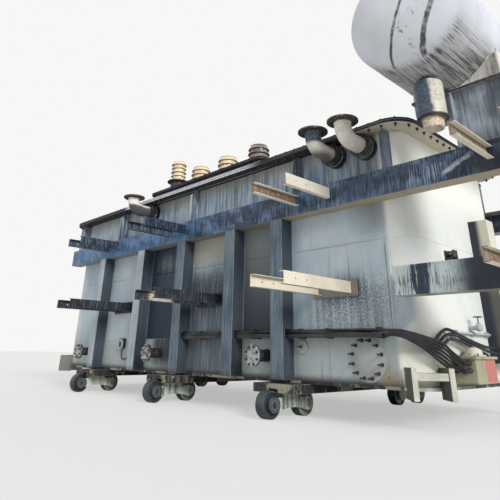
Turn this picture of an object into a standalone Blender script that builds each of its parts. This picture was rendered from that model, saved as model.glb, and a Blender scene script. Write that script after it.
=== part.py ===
"""Large oil-filled power transformer: a ribbed tank with its conservator, standing on roller bogies.

The coolers and the high-voltage bushings are off, so their brackets and pipe ends stand empty.
Lengths are in metres. X runs along the tank, Y across it and Z up from the rail.
The tank's middle is at x = 0 while modelling; a parent empty then centres the whole on the origin.
"""

from math import cos, pi, radians, sin, sqrt

import bmesh
import bpy
from mathutils import Matrix, Vector

# Fits shared by every piece
SEAM = 0.0003  # gap that two touching pieces keep
WELD = 0.004  # how far a welded piece runs into the one that carries it
SIDES = (("front", -1), ("rear", 1))
SHARP_ANGLE = radians(40)  # round faces are shaded smooth up to this

# Rollers and bogies
ROLLER_RADIUS = 0.18
ROLLER_WIDTH = 0.16
ROLLER_SIDES = 18
ROLLER_RECESS = 0.025
ROLLER_RIM = 0.035
AXLE_RADIUS = 0.045
AXLE_PLAY = 0.002
ROLLER_PLAY = 0.010
ROLLER_PITCH = 0.72
BOGIE_OUTWARD = 1.69  # from the tank's middle plane to the bogie's
BOGIE_PLACES = (-3.01, -0.18, 2.65)
CHEEK_THICKNESS = 0.040
CHEEK_END_RADIUS = 0.100
CHEEK_ARCH = 0.060
CHEEK_STEPS = 5
BOLSTER_HEIGHT = 0.050
BOGIE_TOP = 0.315

# Skids and base plate
SKID_WIDTH = 0.80
SKID_HEIGHT = 0.120
SKID_OVERHANG = 0.26  # beyond a bogie's middle
BASE_THICKNESS = 0.040
BASE_LIP = 0.035

# Jacking brackets, set across the tank's corners
JACK_REACH = 0.25
JACK_HALF_WIDTH = 0.255
JACK_SHIFT = 0.055  # of a bracket towards the end wall
JACK_PLATE = 0.065
JACK_DROP = 0.09
JACK_HEIGHT = 0.35
JACK_SHELF_THICKNESS = 0.08
JACK_SHELF_DROP = 0.055
JACK_SHELF_INSET = 0.02
JACK_STEPS = 8
JACK_PLAY = 0.004  # from the tank's round corner

# Tank
TANK_LENGTH = 9.60
TANK_WIDTH = 3.10
TANK_HEIGHT = 3.455
TANK_CORNER = 0.34
CORNER_STEPS = 6
FLANGE_OVERHANG = 0.27
FLANGE_CORNER = 0.40
FLANGE_THICKNESS = 0.035
FIN_REACH = 0.22
FIN_THICKNESS = 0.020
FIN_CHAMFER = 0.12
FIN_PLACES = (-4.64, -2.60, 0.17, 2.95, 4.64)

# Cover with its raised chest
COVER_THICKNESS = 0.040
CHEST_LEFT = -2.22
CHEST_RIGHT = 1.55
CHEST_HALF_WIDTH = 1.12
CHEST_HEIGHT = 0.40
CHEST_CORNER = 0.06
CHEST_RIM = 0.09
CHEST_RIM_THICKNESS = 0.065

# Wall ribs
RIB_PLACES = (-3.16, -1.465, -0.015, 1.45, 2.585)
RIB_WIDTH = 0.26
RIB_DEPTH = 0.25
RIB_WALL = 0.012
END_RIB_PLACE = 0.60
END_RIB_DEPTH = 0.30
END_RIB_RISE = 0.26  # above the tank's foot

# Belt beams, which carry the upper cooler arms and the conservator's stand
BELT_BOTTOM = 2.84
BELT_HEIGHT = 0.38
BELT_DEPTH = 0.25
BELT_WALL = 0.016
BELT_LEFT = -4.85
BELT_RIGHT = 6.75
UPPER_ARM_PAIRS = (-2.70, -0.16, 3.375, 6.37)
UPPER_ARM_SPREADS = (0.60, 0.60, 0.69, 0.60)
UPPER_ARM_REACH = 1.00
UPPER_ARM_HEIGHT = 0.16
UPPER_ARM_DROP = 0.08  # from the belt's top to the arm's
ARM_FLANGE = 0.075
ARM_WALL = 0.010
ARM_HOLE_RADIUS = 0.013
ARM_HOLE_PITCH = 0.22
ARM_HOLE_SIDES = 6

# Lower beams at the near end
LOWER_BEAM_BOTTOM = 1.515
LOWER_BEAM_HEIGHT = 0.36
LOWER_BEAM_LEFT = 4.64
LOWER_BEAM_ARM_RISE = 0.175  # from the beam's foot to its arms'
LOWER_BEAM_ARM_REACH = 0.70

# Lower cooler arms on their wall pads
LOWER_ARM_PAIRS = (-2.30, 0.73, 3.54)
LOWER_ARM_SPREAD = 0.60
LOWER_ARM_REACH = 1.45
LOWER_ARM_HEIGHT = 0.16
LOWER_ARM_BOTTOM = 1.615
PAD_WIDTH = 0.80
PAD_HEIGHT = 0.23
PAD_THICKNESS = 0.03

# Pipe ends near the tank's foot
STUB_PLACES = (-3.61, -0.80, 2.15)
STUB_HEIGHT = 0.79
STUB_RADIUS = 0.085
STUB_REACH = 0.34
STUB_FLANGE_RADIUS = 0.155
STUB_FLANGE_THICKNESS = 0.028
PORT_PLACE = 4.11
PORT_HEIGHT = 0.745
PORT_RADIUS = 0.185
PORT_REACH = 0.035
PIPE_SIDES = 12

# Gland box on the near end wall and the cable run that reaches it along the front wall
GLAND_REACH = 0.34
GLAND_FRONT = -0.84
GLAND_BACK = -0.16
GLAND_BOTTOM = 0.52
GLAND_HEIGHT = 0.28
GLAND_LID = 0.030
DOME_RADIUS = 0.15
DOME_TOP_RADIUS = 0.07
DOME_HEIGHT = 0.11
CABLE_LEFT = -0.40
CABLE_RIGHT = 4.35
CABLE_OUTWARD = 0.10  # from the wall's face to the bundle's middle
CABLE_HEIGHT = 1.10
CABLE_RADIUS = 0.055
TRAY_WIDTH = 0.17
TRAY_THICKNESS = 0.008
TRAY_LIP = 0.050
SLOT_PLAY = 0.015
CABLE_TURN = ((4.74, 0.00, 0.02), (4.94, 0.24, 0.11), (4.98, 0.50, 0.26), (4.98, 0.66, 0.38))

# Elbows under the cover's edge
ELBOW_PLACES = (-1.43, 3.72, 4.28)
ELBOW_HEIGHT = 3.70
ELBOW_RADIUS = 0.125
ELBOW_BEND = 0.20
ELBOW_OUT = 0.60
ELBOW_FLANGE_RADIUS = 0.215
ELBOW_FLANGE_THICKNESS = 0.030
ELBOW_LIP = 3.975
VALVE_RADIUS = 0.165
VALVE_LENGTH = 0.16
BEND_STEPS = 4

# Bushing stumps
BUSHING_PLACES = (-2.00, -1.04, -0.04, 0.98)
BUSHING_OUTWARD = -0.60
SHED_RADII = (0.20, 0.24, 0.24, 0.24)
SHED_OVERHANG = 0.042
SHED_PITCH = 0.105
SHED_LIP = 0.018
SHED_COUNTS = (5, 4, 4, 4)
TURRET_HEIGHTS = (0.40, 0.10, 0.10, 0.10)
TURRET_RADIUS = 0.19
TURRET_FLANGE_RADIUS = 0.27
TURRET_FLANGE_THICKNESS = 0.03
BUSHING_CAP_RADII = (0.13, 0.19, 0.19, 0.19)
BUSHING_CAP_HEIGHT = 0.04
BUSHING_SIDES = 14

# Conservator drum, its stands and breather
DRUM_PLACE = 5.66
DRUM_RADIUS = 0.78
DRUM_HALF_LENGTH = 2.60
DRUM_END_DEPTH = 0.40
DRUM_SIDES = 32
DRUM_END_STEPS = 5
DRUM_BOTTOM = 4.10
STAND_LEFT = 5.20
STAND_RIGHT = 6.42
STAND_JOINT = 4.05
STAND_KNEE_HEIGHT = 3.62
STAND_KNEE = 0.25
STAND_LEG_LEFT = 5.74
STAND_DEPTH = 0.20
STAND_WEB = 0.030
STAND_FLANGE = 0.020
SADDLE_TOP = 4.42
BREATHER_INSET = 0.40  # from the end of the drum's straight shell
BREATHER_RADIUS = 0.19
BREATHER_BOTTOM = 3.47
BREATHER_SHOULDER = 4.00
BREATHER_NECK_RADIUS = 0.07
BREATHER_CUP_RADIUS = 0.13
BREATHER_CUP_HEIGHT = 0.14
BREATHER_RIM = 0.015
BOSS_RADIUS = 0.10
BOSS_DROP = 0.04

# Heights and faces worked out from the sizes above
AXLE_HEIGHT = ROLLER_RADIUS * cos(pi / ROLLER_SIDES)
SKID_BOTTOM = BOGIE_TOP + SEAM
SKID_TOP = SKID_BOTTOM + SKID_HEIGHT
SKID_REACH = BOGIE_OUTWARD + SKID_OVERHANG
BASE_BOTTOM = SKID_TOP + SEAM
TANK_FOOT = BASE_BOTTOM + BASE_THICKNESS + SEAM
TANK_TOP = TANK_FOOT + TANK_HEIGHT
HALF_LENGTH = TANK_LENGTH / 2
HALF_WIDTH = TANK_WIDTH / 2
FLANGE_BOTTOM = TANK_TOP - FLANGE_THICKNESS
COVER_BOTTOM = TANK_TOP + SEAM
COVER_TOP = COVER_BOTTOM + COVER_THICKNESS
CHEST_TOP = COVER_TOP + CHEST_HEIGHT + CHEST_RIM_THICKNESS
BELT_TOP = BELT_BOTTOM + BELT_HEIGHT
WALL_FACE = HALF_WIDTH + SEAM
BELT_FACE = WALL_FACE + BELT_DEPTH
DRUM_HEIGHT = DRUM_BOTTOM + DRUM_RADIUS
BREATHER_OUTWARD = BREATHER_INSET - DRUM_HALF_LENGTH
CORNER_INSET = TANK_CORNER * (1 - sqrt(0.5))  # from a square corner to the round one, along X or Y
JACK_SPREAD = JACK_REACH + JACK_HALF_WIDTH + JACK_SHIFT
JACK_TIP = HALF_LENGTH - CORNER_INSET + JACK_SPREAD * sqrt(0.5)
LEFT_END = -max(HALF_LENGTH + FLANGE_OVERHANG, JACK_TIP)
PLAN_MIDDLE = (LEFT_END + BELT_RIGHT) / 2
TRAY_BOTTOM = CABLE_HEIGHT - CABLE_RADIUS - TRAY_THICKNESS / 2

# Paints: colour, roughness, metallic
PAINTS = {
    "tank_paint": ((0.52, 0.54, 0.52), 0.62, 0.0),
    "oiled_paint": ((0.055, 0.065, 0.085), 0.38, 0.0),
    "cover_paint": ((0.16, 0.17, 0.18), 0.50, 0.0),
    "arm_paint": ((0.66, 0.62, 0.52), 0.60, 0.0),
    "drum_paint": ((0.60, 0.61, 0.60), 0.55, 0.0),
    "elbow_paint": ((0.50, 0.48, 0.42), 0.45, 0.0),
    "base_paint": ((0.20, 0.15, 0.11), 0.75, 0.0),
    "bogie_iron": ((0.42, 0.45, 0.42), 0.65, 0.0),
    "roller_iron": ((0.11, 0.11, 0.115), 0.45, 0.8),
    "porcelain": ((0.72, 0.64, 0.52), 0.25, 0.0),
    "breather_paint": ((0.58, 0.54, 0.46), 0.50, 0.0),
    "cable_rubber": ((0.035, 0.035, 0.04), 0.50, 0.0),
}


def clear_scene():
    for old in list(bpy.data.objects):
        bpy.data.objects.remove(old, do_unlink=True)


def paint(name):
    if name in bpy.data.materials:
        return bpy.data.materials[name]
    colour, roughness, metallic = PAINTS[name]
    material = bpy.data.materials.new(name)
    material.use_nodes = True
    shader = material.node_tree.nodes["Principled BSDF"]
    shader.inputs["Base Color"].default_value = (*colour, 1.0)
    shader.inputs["Roughness"].default_value = roughness
    shader.inputs["Metallic"].default_value = metallic
    return material


# Flat outlines, as lists of two coordinates
def rectangle(low_u, high_u, low_v, high_v):
    return [(low_u, low_v), (high_u, low_v), (high_u, high_v), (low_u, high_v)]


def arc(centre_u, centre_v, radius, start, end, steps):
    """Points from one angle to the other, both in degrees."""
    points = []
    for step in range(steps + 1):
        angle = radians(start + (end - start) * step / steps)
        points.append((centre_u + radius * cos(angle), centre_v + radius * sin(angle)))
    return points


def rounded_rectangle(half_u, half_v, radius, middle_u=0.0):
    inner_u = half_u - radius
    inner_v = half_v - radius
    corners = ((1, 1, 0), (-1, 1, 90), (-1, -1, 180), (1, -1, 270))
    points = []
    for sign_u, sign_v, start in corners:
        centre_u = middle_u + sign_u * inner_u
        points += arc(centre_u, sign_v * inner_v, radius, start, start + 90, CORNER_STEPS)
    return points


def channel(height, depth, wall):
    """A C-shaped section: its back at u = 0, its open side at u = depth, centred in v."""
    half = height / 2
    return [
        (0, -half), (depth, -half), (depth, wall - half), (wall, wall - half),
        (wall, half - wall), (depth, half - wall), (depth, half), (0, half),
    ]


# Solids in a bmesh
def prism(bm, outline, low, high, along):
    """Pushes a flat outline from low to high along X (u, v = y, z), Y (u, v = x, z) or Z (u, v = x, y)."""
    place = {
        "X": lambda u, v, t: (t, u, v),
        "Y": lambda u, v, t: (u, t, v),
        "Z": lambda u, v, t: (u, v, t),
    }[along]
    first = [bm.verts.new(place(u, v, low)) for u, v in outline]
    last = [bm.verts.new(place(u, v, high)) for u, v in outline]
    faces = [bm.faces.new(first), bm.faces.new(last)]
    for i in range(len(outline)):
        j = (i + 1) % len(outline)
        faces.append(bm.faces.new((first[i], first[j], last[j], last[i])))
    bmesh.ops.recalc_face_normals(bm, faces=faces)


def turned(bm, profile, sides, matrix=None):
    """Turns (radius, height) points about Z. Half a step's turn lays a flat facet lowest."""
    rings = []
    for radius, height in profile:
        if radius == 0:
            rings.append([bm.verts.new((0, 0, height))])
            continue
        angles = [2 * pi * (k + 0.5) / sides for k in range(sides)]
        rings.append([bm.verts.new((radius * cos(a), radius * sin(a), height)) for a in angles])
    faces = []
    for lower, upper in zip(rings, rings[1:]):
        for k in range(sides):
            n = (k + 1) % sides
            corners = [lower[k % len(lower)], lower[n % len(lower)]]
            corners += [upper[n % len(upper)], upper[k % len(upper)]]
            faces.append(bm.faces.new(list(dict.fromkeys(corners))))
    bmesh.ops.recalc_face_normals(bm, faces=faces)
    if matrix:
        bmesh.ops.transform(bm, matrix=matrix, verts=[v for ring in rings for v in ring])


def disc(radius, low, high):
    """The profile of a plain round plate or bar."""
    return [(0, low), (radius, low), (radius, high), (0, high)]


def swept(bm, path, radius, sides, reference):
    """A round bar along (centre, direction) pairs; reference is a direction that the path never takes."""
    rings = []
    for centre, direction in path:
        along = direction.normalized()
        across = (reference - reference.dot(along) * along).normalized()
        other = along.cross(across)
        ring = []
        for k in range(sides):
            angle = 2 * pi * (k + 0.5) / sides
            ring.append(bm.verts.new(centre + radius * (cos(angle) * across + sin(angle) * other)))
        rings.append(ring)
    faces = [bm.faces.new(rings[0]), bm.faces.new(rings[-1])]
    for lower, upper in zip(rings, rings[1:]):
        for k in range(sides):
            n = (k + 1) % sides
            faces.append(bm.faces.new((lower[k], lower[n], upper[n], upper[k])))
    bmesh.ops.recalc_face_normals(bm, faces=faces)


def facing(direction, place=(0, 0, 0)):
    """The matrix that lays Z along a direction at a place, with a facet still lowest."""
    turn = {
        "X": Matrix.Rotation(pi / 2, 4, "Y"),
        "-Y": Matrix.Rotation(pi / 2, 4, "X"),
        "Y": Matrix.Rotation(-pi / 2, 4, "X"),
        "Z": Matrix.Identity(4),
    }[direction]
    return Matrix.Translation(place) @ turn


# Objects
def put(name, bm, material, parent, at=(0, 0, 0), smooth=False):
    mesh = bpy.data.meshes.new(name)
    bm.to_mesh(mesh)
    bm.free()
    mesh.materials.append(paint(material))
    if smooth:
        mesh.shade_smooth()
        mesh.set_sharp_from_angle(angle=SHARP_ANGLE)
    piece = bpy.data.objects.new(name, mesh)
    bpy.context.scene.collection.objects.link(piece)
    piece.parent = parent
    piece.location = at
    return piece


def tool(name, bm, parent, at=(0, 0, 0)):
    """A solid that only cuts or adds to another."""
    piece = put(name, bm, "base_paint", parent, at)
    piece.hide_render = True
    piece.display_type = "WIRE"
    return piece


def combine(target, other, operation):
    step = target.modifiers.new(other.name, "BOOLEAN")
    step.operation = operation
    step.solver = "EXACT"
    step.object = other


def finished_mesh(piece, prefix):
    """The mesh of a piece with its cuts made; the piece and its tools, all named with the prefix, go."""
    evaluated = piece.evaluated_get(bpy.context.evaluated_depsgraph_get())
    mesh = bpy.data.meshes.new_from_object(evaluated)
    for old in [o for o in bpy.data.objects if o.name.startswith(prefix)]:
        bpy.data.objects.remove(old, do_unlink=True)
    return mesh


def place_mesh(mesh, name, parent, at):
    twin = bpy.data.objects.new(name, mesh)
    bpy.context.scene.collection.objects.link(twin)
    twin.parent = parent
    twin.location = at
    return twin


# Rollers and bogies
def roller_mesh():
    half = ROLLER_WIDTH / 2
    web = half - ROLLER_RECESS
    journal = half + ROLLER_PLAY + CHEEK_THICKNESS
    rim_inside = ROLLER_RADIUS - ROLLER_RIM
    profile = [(0, -journal), (AXLE_RADIUS, -journal), (AXLE_RADIUS, -web)]
    profile += [(rim_inside, -web), (rim_inside, -half), (ROLLER_RADIUS, -half)]
    profile += [(radius, -height) for radius, height in reversed(profile)]
    bm = bmesh.new()
    turned(bm, profile, ROLLER_SIDES, facing("X"))
    return bm


def cheek_outline():
    """The side of a cast bogie frame: round ends about the axles, an arch below, sloping shoulders."""
    half = ROLLER_PITCH / 2
    shoulder = BOGIE_TOP - BOLSTER_HEIGHT
    end = CHEEK_END_RADIUS
    points = arc(half, AXLE_HEIGHT, end, -90, 60, CHEEK_STEPS)
    points += [(half - end, shoulder), (end - half, shoulder)]
    points += arc(-half, AXLE_HEIGHT, end, 120, 270, CHEEK_STEPS)
    arch_low = AXLE_HEIGHT - end
    for step in range(1, CHEEK_STEPS):
        share = step / CHEEK_STEPS
        height = arch_low + CHEEK_ARCH * sin(pi * share)
        points.append((-half + 2 * half * share, height))
    return points


def bogie_frame(parent):
    """Two cheeks joined by a tie block between the rollers, bored for the axles."""
    inner = ROLLER_WIDTH / 2 + ROLLER_PLAY
    outer = inner + CHEEK_THICKNESS
    bm = bmesh.new()
    prism(bm, cheek_outline(), inner, outer, "X")
    frame = put("bogie_frame", bm, "bogie_iron", parent)
    other = bmesh.new()
    prism(other, cheek_outline(), -outer, -inner, "X")
    combine(frame, tool("bogie_other_cheek", other, parent), "UNION")
    tie = bmesh.new()
    tie_half = ROLLER_PITCH / 2 - ROLLER_RADIUS - ROLLER_PLAY
    prism(tie, rectangle(-tie_half, tie_half, AXLE_HEIGHT, BOGIE_TOP), -outer, outer, "X")
    combine(frame, tool("bogie_tie", tie, parent), "UNION")
    for number, place in enumerate((-ROLLER_PITCH / 2, ROLLER_PITCH / 2)):
        bore = bmesh.new()
        length = outer + CHEEK_THICKNESS
        turned(bore, disc(AXLE_RADIUS + AXLE_PLAY, -length, length), PIPE_SIDES, facing("X"))
        combine(frame, tool(f"bogie_bore_{number}", bore, parent, (0, place, AXLE_HEIGHT)), "DIFFERENCE")
    return frame


def build_bogies(parent):
    frame = finished_mesh(bogie_frame(parent), "bogie_")
    first_roller = None
    for row, place in enumerate(BOGIE_PLACES, 1):
        for side, sign in SIDES:
            middle = sign * BOGIE_OUTWARD
            place_mesh(frame, f"bogie_{side}_{row}", parent, (place, middle, 0))
            for letter, offset in (("outer", sign), ("inner", -sign)):
                name = f"roller_{side}_{row}_{letter}"
                at = (place, middle + offset * ROLLER_PITCH / 2, AXLE_HEIGHT)
                if first_roller is None:
                    first_roller = put(name, roller_mesh(), "roller_iron", parent, at, smooth=True)
                else:
                    place_mesh(first_roller.data, name, parent, at)


# Skids and base plate
def build_skids(parent):
    """Beams across the tank's foot, with a pocket over each roller."""
    half = SKID_WIDTH / 2
    pocket_half = ROLLER_WIDTH / 2 + ROLLER_PLAY
    pocket_reach = ROLLER_RADIUS + ROLLER_PLAY
    pocket_top = AXLE_HEIGHT + ROLLER_RADIUS + ROLLER_PLAY
    for row, place in enumerate(BOGIE_PLACES, 1):
        bm = bmesh.new()
        prism(bm, rectangle(-half, half, SKID_BOTTOM, SKID_TOP), -SKID_REACH, SKID_REACH, "Y")
        skid = put(f"skid_{row}", bm, "base_paint", parent, (place, 0, 0))
        for side, sign in SIDES:
            for letter, offset in (("outer", sign), ("inner", -sign)):
                middle = sign * BOGIE_OUTWARD + offset * ROLLER_PITCH / 2
                pocket = bmesh.new()
                section = rectangle(middle - pocket_reach, middle + pocket_reach,
                                    AXLE_HEIGHT, pocket_top)
                prism(pocket, section, -pocket_half, pocket_half, "X")
                name = f"skid_{row}_pocket_{side}_{letter}"
                combine(skid, tool(name, pocket, parent, (place, 0, 0)), "DIFFERENCE")


def corner_at(across):
    """How far a corner's surface lies out along its diagonal: a round middle, then the flat walls."""
    radius = TANK_CORNER + JACK_PLAY
    round_half = radius * sqrt(0.5)
    if abs(across) < round_half:
        return sqrt(radius ** 2 - across ** 2) - TANK_CORNER
    return 2 * round_half - abs(across) - TANK_CORNER


def bracket_outline(tip, low, high):
    """A plate seen from above: straight outside, its inner edge following the tank's corner."""
    points = [(tip, low), (tip, high)]
    for step in range(JACK_STEPS + 1):
        across = high + (low - high) * step / JACK_STEPS
        points.append((corner_at(across), across))
    return points


def add_bracket(base, parent, label, place, shift):
    """A jacking bracket: two upright plates with a thick shelf between them, standing out from a corner."""
    foot = BASE_BOTTOM - JACK_DROP
    top = foot + JACK_HEIGHT
    shelf_top = top - JACK_SHELF_DROP
    inner = JACK_HALF_WIDTH - JACK_PLATE
    shelf = inner + WELD
    pieces = (
        (JACK_REACH, -JACK_HALF_WIDTH, -inner, foot, top),
        (JACK_REACH, inner, JACK_HALF_WIDTH, foot, top),
        (JACK_REACH - JACK_SHELF_INSET, -shelf, shelf, shelf_top - JACK_SHELF_THICKNESS, shelf_top),
    )
    for number, (tip, low, high, bottom, upper) in enumerate(pieces):
        plate = bmesh.new()
        prism(plate, bracket_outline(tip, low + shift, high + shift), bottom, upper, "Z")
        bmesh.ops.transform(plate, matrix=place, verts=plate.verts)
        combine(base, tool(f"{label}_plate_{number}", plate, parent), "UNION")


def build_base(parent):
    bm = bmesh.new()
    outline = rounded_rectangle(HALF_LENGTH + BASE_LIP, HALF_WIDTH + BASE_LIP, TANK_CORNER + BASE_LIP)
    prism(bm, outline, BASE_BOTTOM, BASE_BOTTOM + BASE_THICKNESS, "Z")
    base = put("base_plate", bm, "base_paint", parent)
    for end in (-1, 1):
        for sign in (-1, 1):
            turn = Matrix.Rotation(pi / 2 - end * (pi / 2 - sign * pi / 4), 4, "Z")
            corner = (end * (HALF_LENGTH - CORNER_INSET), sign * (HALF_WIDTH - CORNER_INSET), 0)
            place = Matrix.Translation(corner) @ turn
            add_bracket(base, parent, f"jack_{end}_{sign}", place, -end * sign * JACK_SHIFT)


# Tank, its top flange and cover
def add_gland_box(tank, parent):
    """The box where the cables end: its body, a lid that stands over it and a dome on top."""
    tip = HALF_LENGTH + GLAND_REACH
    top = GLAND_BOTTOM + GLAND_HEIGHT
    body = bmesh.new()
    section = rectangle(HALF_LENGTH - WELD, tip - GLAND_LID, GLAND_FRONT + GLAND_LID, GLAND_BACK - GLAND_LID)
    prism(body, section, GLAND_BOTTOM, top, "Z")
    combine(tank, tool("gland_body", body, parent), "UNION")
    lid = bmesh.new()
    prism(lid, rectangle(HALF_LENGTH - WELD, tip, GLAND_FRONT, GLAND_BACK), top - WELD, top + GLAND_LID, "Z")
    combine(tank, tool("gland_lid", lid, parent), "UNION")
    dome = bmesh.new()
    profile = [(0, -WELD), (DOME_RADIUS, -WELD), (DOME_RADIUS, GLAND_LID)]
    profile += [(DOME_TOP_RADIUS, DOME_HEIGHT), (0, DOME_HEIGHT)]
    middle = (HALF_LENGTH + GLAND_REACH / 2, (GLAND_FRONT + GLAND_BACK) / 2, top + GLAND_LID)
    turned(dome, profile, PIPE_SIDES, facing("Z", middle))
    combine(tank, tool("gland_dome", dome, parent), "UNION")


def build_tank(parent):
    bm = bmesh.new()
    prism(bm, rounded_rectangle(HALF_LENGTH, HALF_WIDTH, TANK_CORNER), TANK_FOOT, TANK_TOP, "Z")
    tank = put("tank_body", bm, "tank_paint", parent)
    add_gland_box(tank, parent)
    half_rib = RIB_WIDTH / 2
    for end in (-1, 1):
        rib = bmesh.new()
        section = rectangle(end * (HALF_LENGTH - WELD), end * (HALF_LENGTH + END_RIB_DEPTH),
                            END_RIB_PLACE - half_rib, END_RIB_PLACE + half_rib)
        prism(rib, section, TANK_FOOT + END_RIB_RISE, BELT_BOTTOM, "Z")
        combine(tank, tool(f"end_rib_{end}", rib, parent), "UNION")
    for side, sign in SIDES:
        direction = "-Y" if sign < 0 else "Y"
        for number, place in enumerate(STUB_PLACES):
            stub = bmesh.new()
            face = STUB_REACH - STUB_FLANGE_THICKNESS
            profile = [(0, -WELD), (STUB_RADIUS, -WELD), (STUB_RADIUS, face)]
            profile += [(STUB_FLANGE_RADIUS, face), (STUB_FLANGE_RADIUS, STUB_REACH), (0, STUB_REACH)]
            turned(stub, profile, PIPE_SIDES, facing(direction, (place, sign * HALF_WIDTH, STUB_HEIGHT)))
            combine(tank, tool(f"stub_{side}_{number}", stub, parent), "UNION")
        port = bmesh.new()
        turned(port, disc(PORT_RADIUS, -WELD, PORT_REACH), PIPE_SIDES,
               facing(direction, (PORT_PLACE, sign * HALF_WIDTH, PORT_HEIGHT)))
        combine(tank, tool(f"port_{side}", port, parent), "UNION")


def wall_at(place):
    """Half the tank's width at a place along it, less where its corners are rounded."""
    past = abs(place) - (HALF_LENGTH - TANK_CORNER)
    if past <= 0:
        return WALL_FACE
    return WALL_FACE - TANK_CORNER + sqrt(TANK_CORNER ** 2 - past ** 2)


def build_flange(parent):
    """A ring round the tank's top edge, stiffened from below by chamfered fins."""
    bm = bmesh.new()
    outline = rounded_rectangle(HALF_LENGTH + FLANGE_OVERHANG, HALF_WIDTH + FLANGE_OVERHANG, FLANGE_CORNER)
    prism(bm, outline, FLANGE_BOTTOM, TANK_TOP, "Z")
    flange = put("top_flange", bm, "oiled_paint", parent)
    bottom = BELT_TOP + SEAM
    for side, sign in SIDES:
        for number, place in enumerate(FIN_PLACES):
            fin = bmesh.new()
            root = sign * wall_at(abs(place) - FIN_THICKNESS / 2)
            tip = sign * (WALL_FACE + FIN_REACH)
            shoulder = sign * (WALL_FACE + FIN_REACH - FIN_CHAMFER)
            profile = [(root, bottom), (tip, bottom), (tip, FLANGE_BOTTOM - FIN_CHAMFER)]
            profile += [(shoulder, FLANGE_BOTTOM + WELD), (root, FLANGE_BOTTOM + WELD)]
            prism(fin, profile, place - FIN_THICKNESS / 2, place + FIN_THICKNESS / 2, "X")
            combine(flange, tool(f"fin_{side}_{number}", fin, parent), "UNION")
    hole = bmesh.new()
    inside = rounded_rectangle(HALF_LENGTH + SEAM, HALF_WIDTH + SEAM, TANK_CORNER + SEAM)
    prism(hole, inside, FLANGE_BOTTOM - FLANGE_OVERHANG, TANK_TOP + FLANGE_OVERHANG, "Z")
    combine(flange, tool("flange_hole", hole, parent), "DIFFERENCE")


def build_cover(parent):
    bm = bmesh.new()
    outline = rounded_rectangle(HALF_LENGTH + FLANGE_OVERHANG, HALF_WIDTH + FLANGE_OVERHANG, FLANGE_CORNER)
    prism(bm, outline, COVER_BOTTOM, COVER_TOP, "Z")
    cover = put("cover", bm, "cover_paint", parent)
    middle = (CHEST_LEFT + CHEST_RIGHT) / 2
    half = (CHEST_RIGHT - CHEST_LEFT) / 2
    chest = bmesh.new()
    prism(chest, rounded_rectangle(half, CHEST_HALF_WIDTH, CHEST_CORNER, middle),
          COVER_TOP - WELD, COVER_TOP + CHEST_HEIGHT + WELD, "Z")
    combine(cover, tool("chest", chest, parent), "UNION")
    rim = bmesh.new()
    outline = rounded_rectangle(half + CHEST_RIM, CHEST_HALF_WIDTH + CHEST_RIM,
                                CHEST_CORNER + CHEST_RIM, middle)
    prism(rim, outline, COVER_TOP + CHEST_HEIGHT, CHEST_TOP, "Z")
    combine(cover, tool("chest_rim", rim, parent), "UNION")


# Cables
def build_cables(parent):
    """A bundle on its tray along the front wall, then round the corner and down to the gland box."""
    middle = -WALL_FACE - CABLE_OUTWARD
    centres = [Vector((CABLE_LEFT, middle, CABLE_HEIGHT)), Vector((CABLE_RIGHT, middle, CABLE_HEIGHT))]
    for x, inward, drop in CABLE_TURN:
        centres.append(Vector((x, middle + inward, CABLE_HEIGHT - drop)))
    centres.append(Vector((CABLE_TURN[-1][0], GLAND_FRONT - SEAM, CABLE_HEIGHT - CABLE_TURN[-1][2])))
    path = []
    for number, centre in enumerate(centres):
        before = centres[max(number - 1, 0)]
        after = centres[min(number + 1, len(centres) - 1)]
        path.append((centre, after - before))
    path[-1] = (centres[-1], Vector((0, 1, 0)))
    bm = bmesh.new()
    swept(bm, path, CABLE_RADIUS, PIPE_SIDES, Vector((0, 0, 1)))
    cables = put("cable_run", bm, "cable_rubber", parent, smooth=True)
    tray = bmesh.new()
    outer = -WALL_FACE - TRAY_WIDTH
    profile = [
        (-WALL_FACE, TRAY_BOTTOM), (outer, TRAY_BOTTOM), (outer, TRAY_BOTTOM + TRAY_LIP),
        (outer + TRAY_THICKNESS, TRAY_BOTTOM + TRAY_LIP),
        (outer + TRAY_THICKNESS, TRAY_BOTTOM + TRAY_THICKNESS),
        (-WALL_FACE, TRAY_BOTTOM + TRAY_THICKNESS),
    ]
    prism(tray, profile, CABLE_LEFT, CABLE_RIGHT, "X")
    combine(cables, tool("cable_tray", tray, parent), "UNION")


# Ribs, belts and arms
def build_ribs(parent):
    """Channels whose open side faces the tank wall, from the tank's foot up to the belt."""
    half = RIB_WIDTH / 2
    for side, sign in SIDES:
        bm = bmesh.new()
        outer = sign * (WALL_FACE + RIB_DEPTH)
        root = sign * WALL_FACE
        back = sign * (WALL_FACE + RIB_DEPTH - RIB_WALL)
        outline = [(-half, root), (-half, outer), (half, outer), (half, root)]
        outline += [(half - RIB_WALL, root), (half - RIB_WALL, back)]
        outline += [(RIB_WALL - half, back), (RIB_WALL - half, root)]
        prism(bm, outline, TANK_FOOT, BELT_BOTTOM - SEAM, "Z")
        first = None
        for number, place in enumerate(RIB_PLACES, 1):
            name = f"rib_{side}_{number}"
            if first is None:
                first = put(name, bm, "tank_paint", parent, (place, 0, 0))
                rib = first
            else:
                rib = place_mesh(first.data, name, parent, (place, 0, 0))
            if sign < 0 and place > CABLE_LEFT:
                slot = bmesh.new()
                section = rectangle(-WALL_FACE - TRAY_WIDTH - SLOT_PLAY, -WALL_FACE + SLOT_PLAY,
                                    TRAY_BOTTOM - SLOT_PLAY, CABLE_HEIGHT + CABLE_RADIUS + SLOT_PLAY)
                prism(slot, section, -RIB_WIDTH, RIB_WIDTH, "X")
                combine(rib, tool(f"slot_{number}", slot, parent, (place, 0, 0)), "DIFFERENCE")


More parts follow.
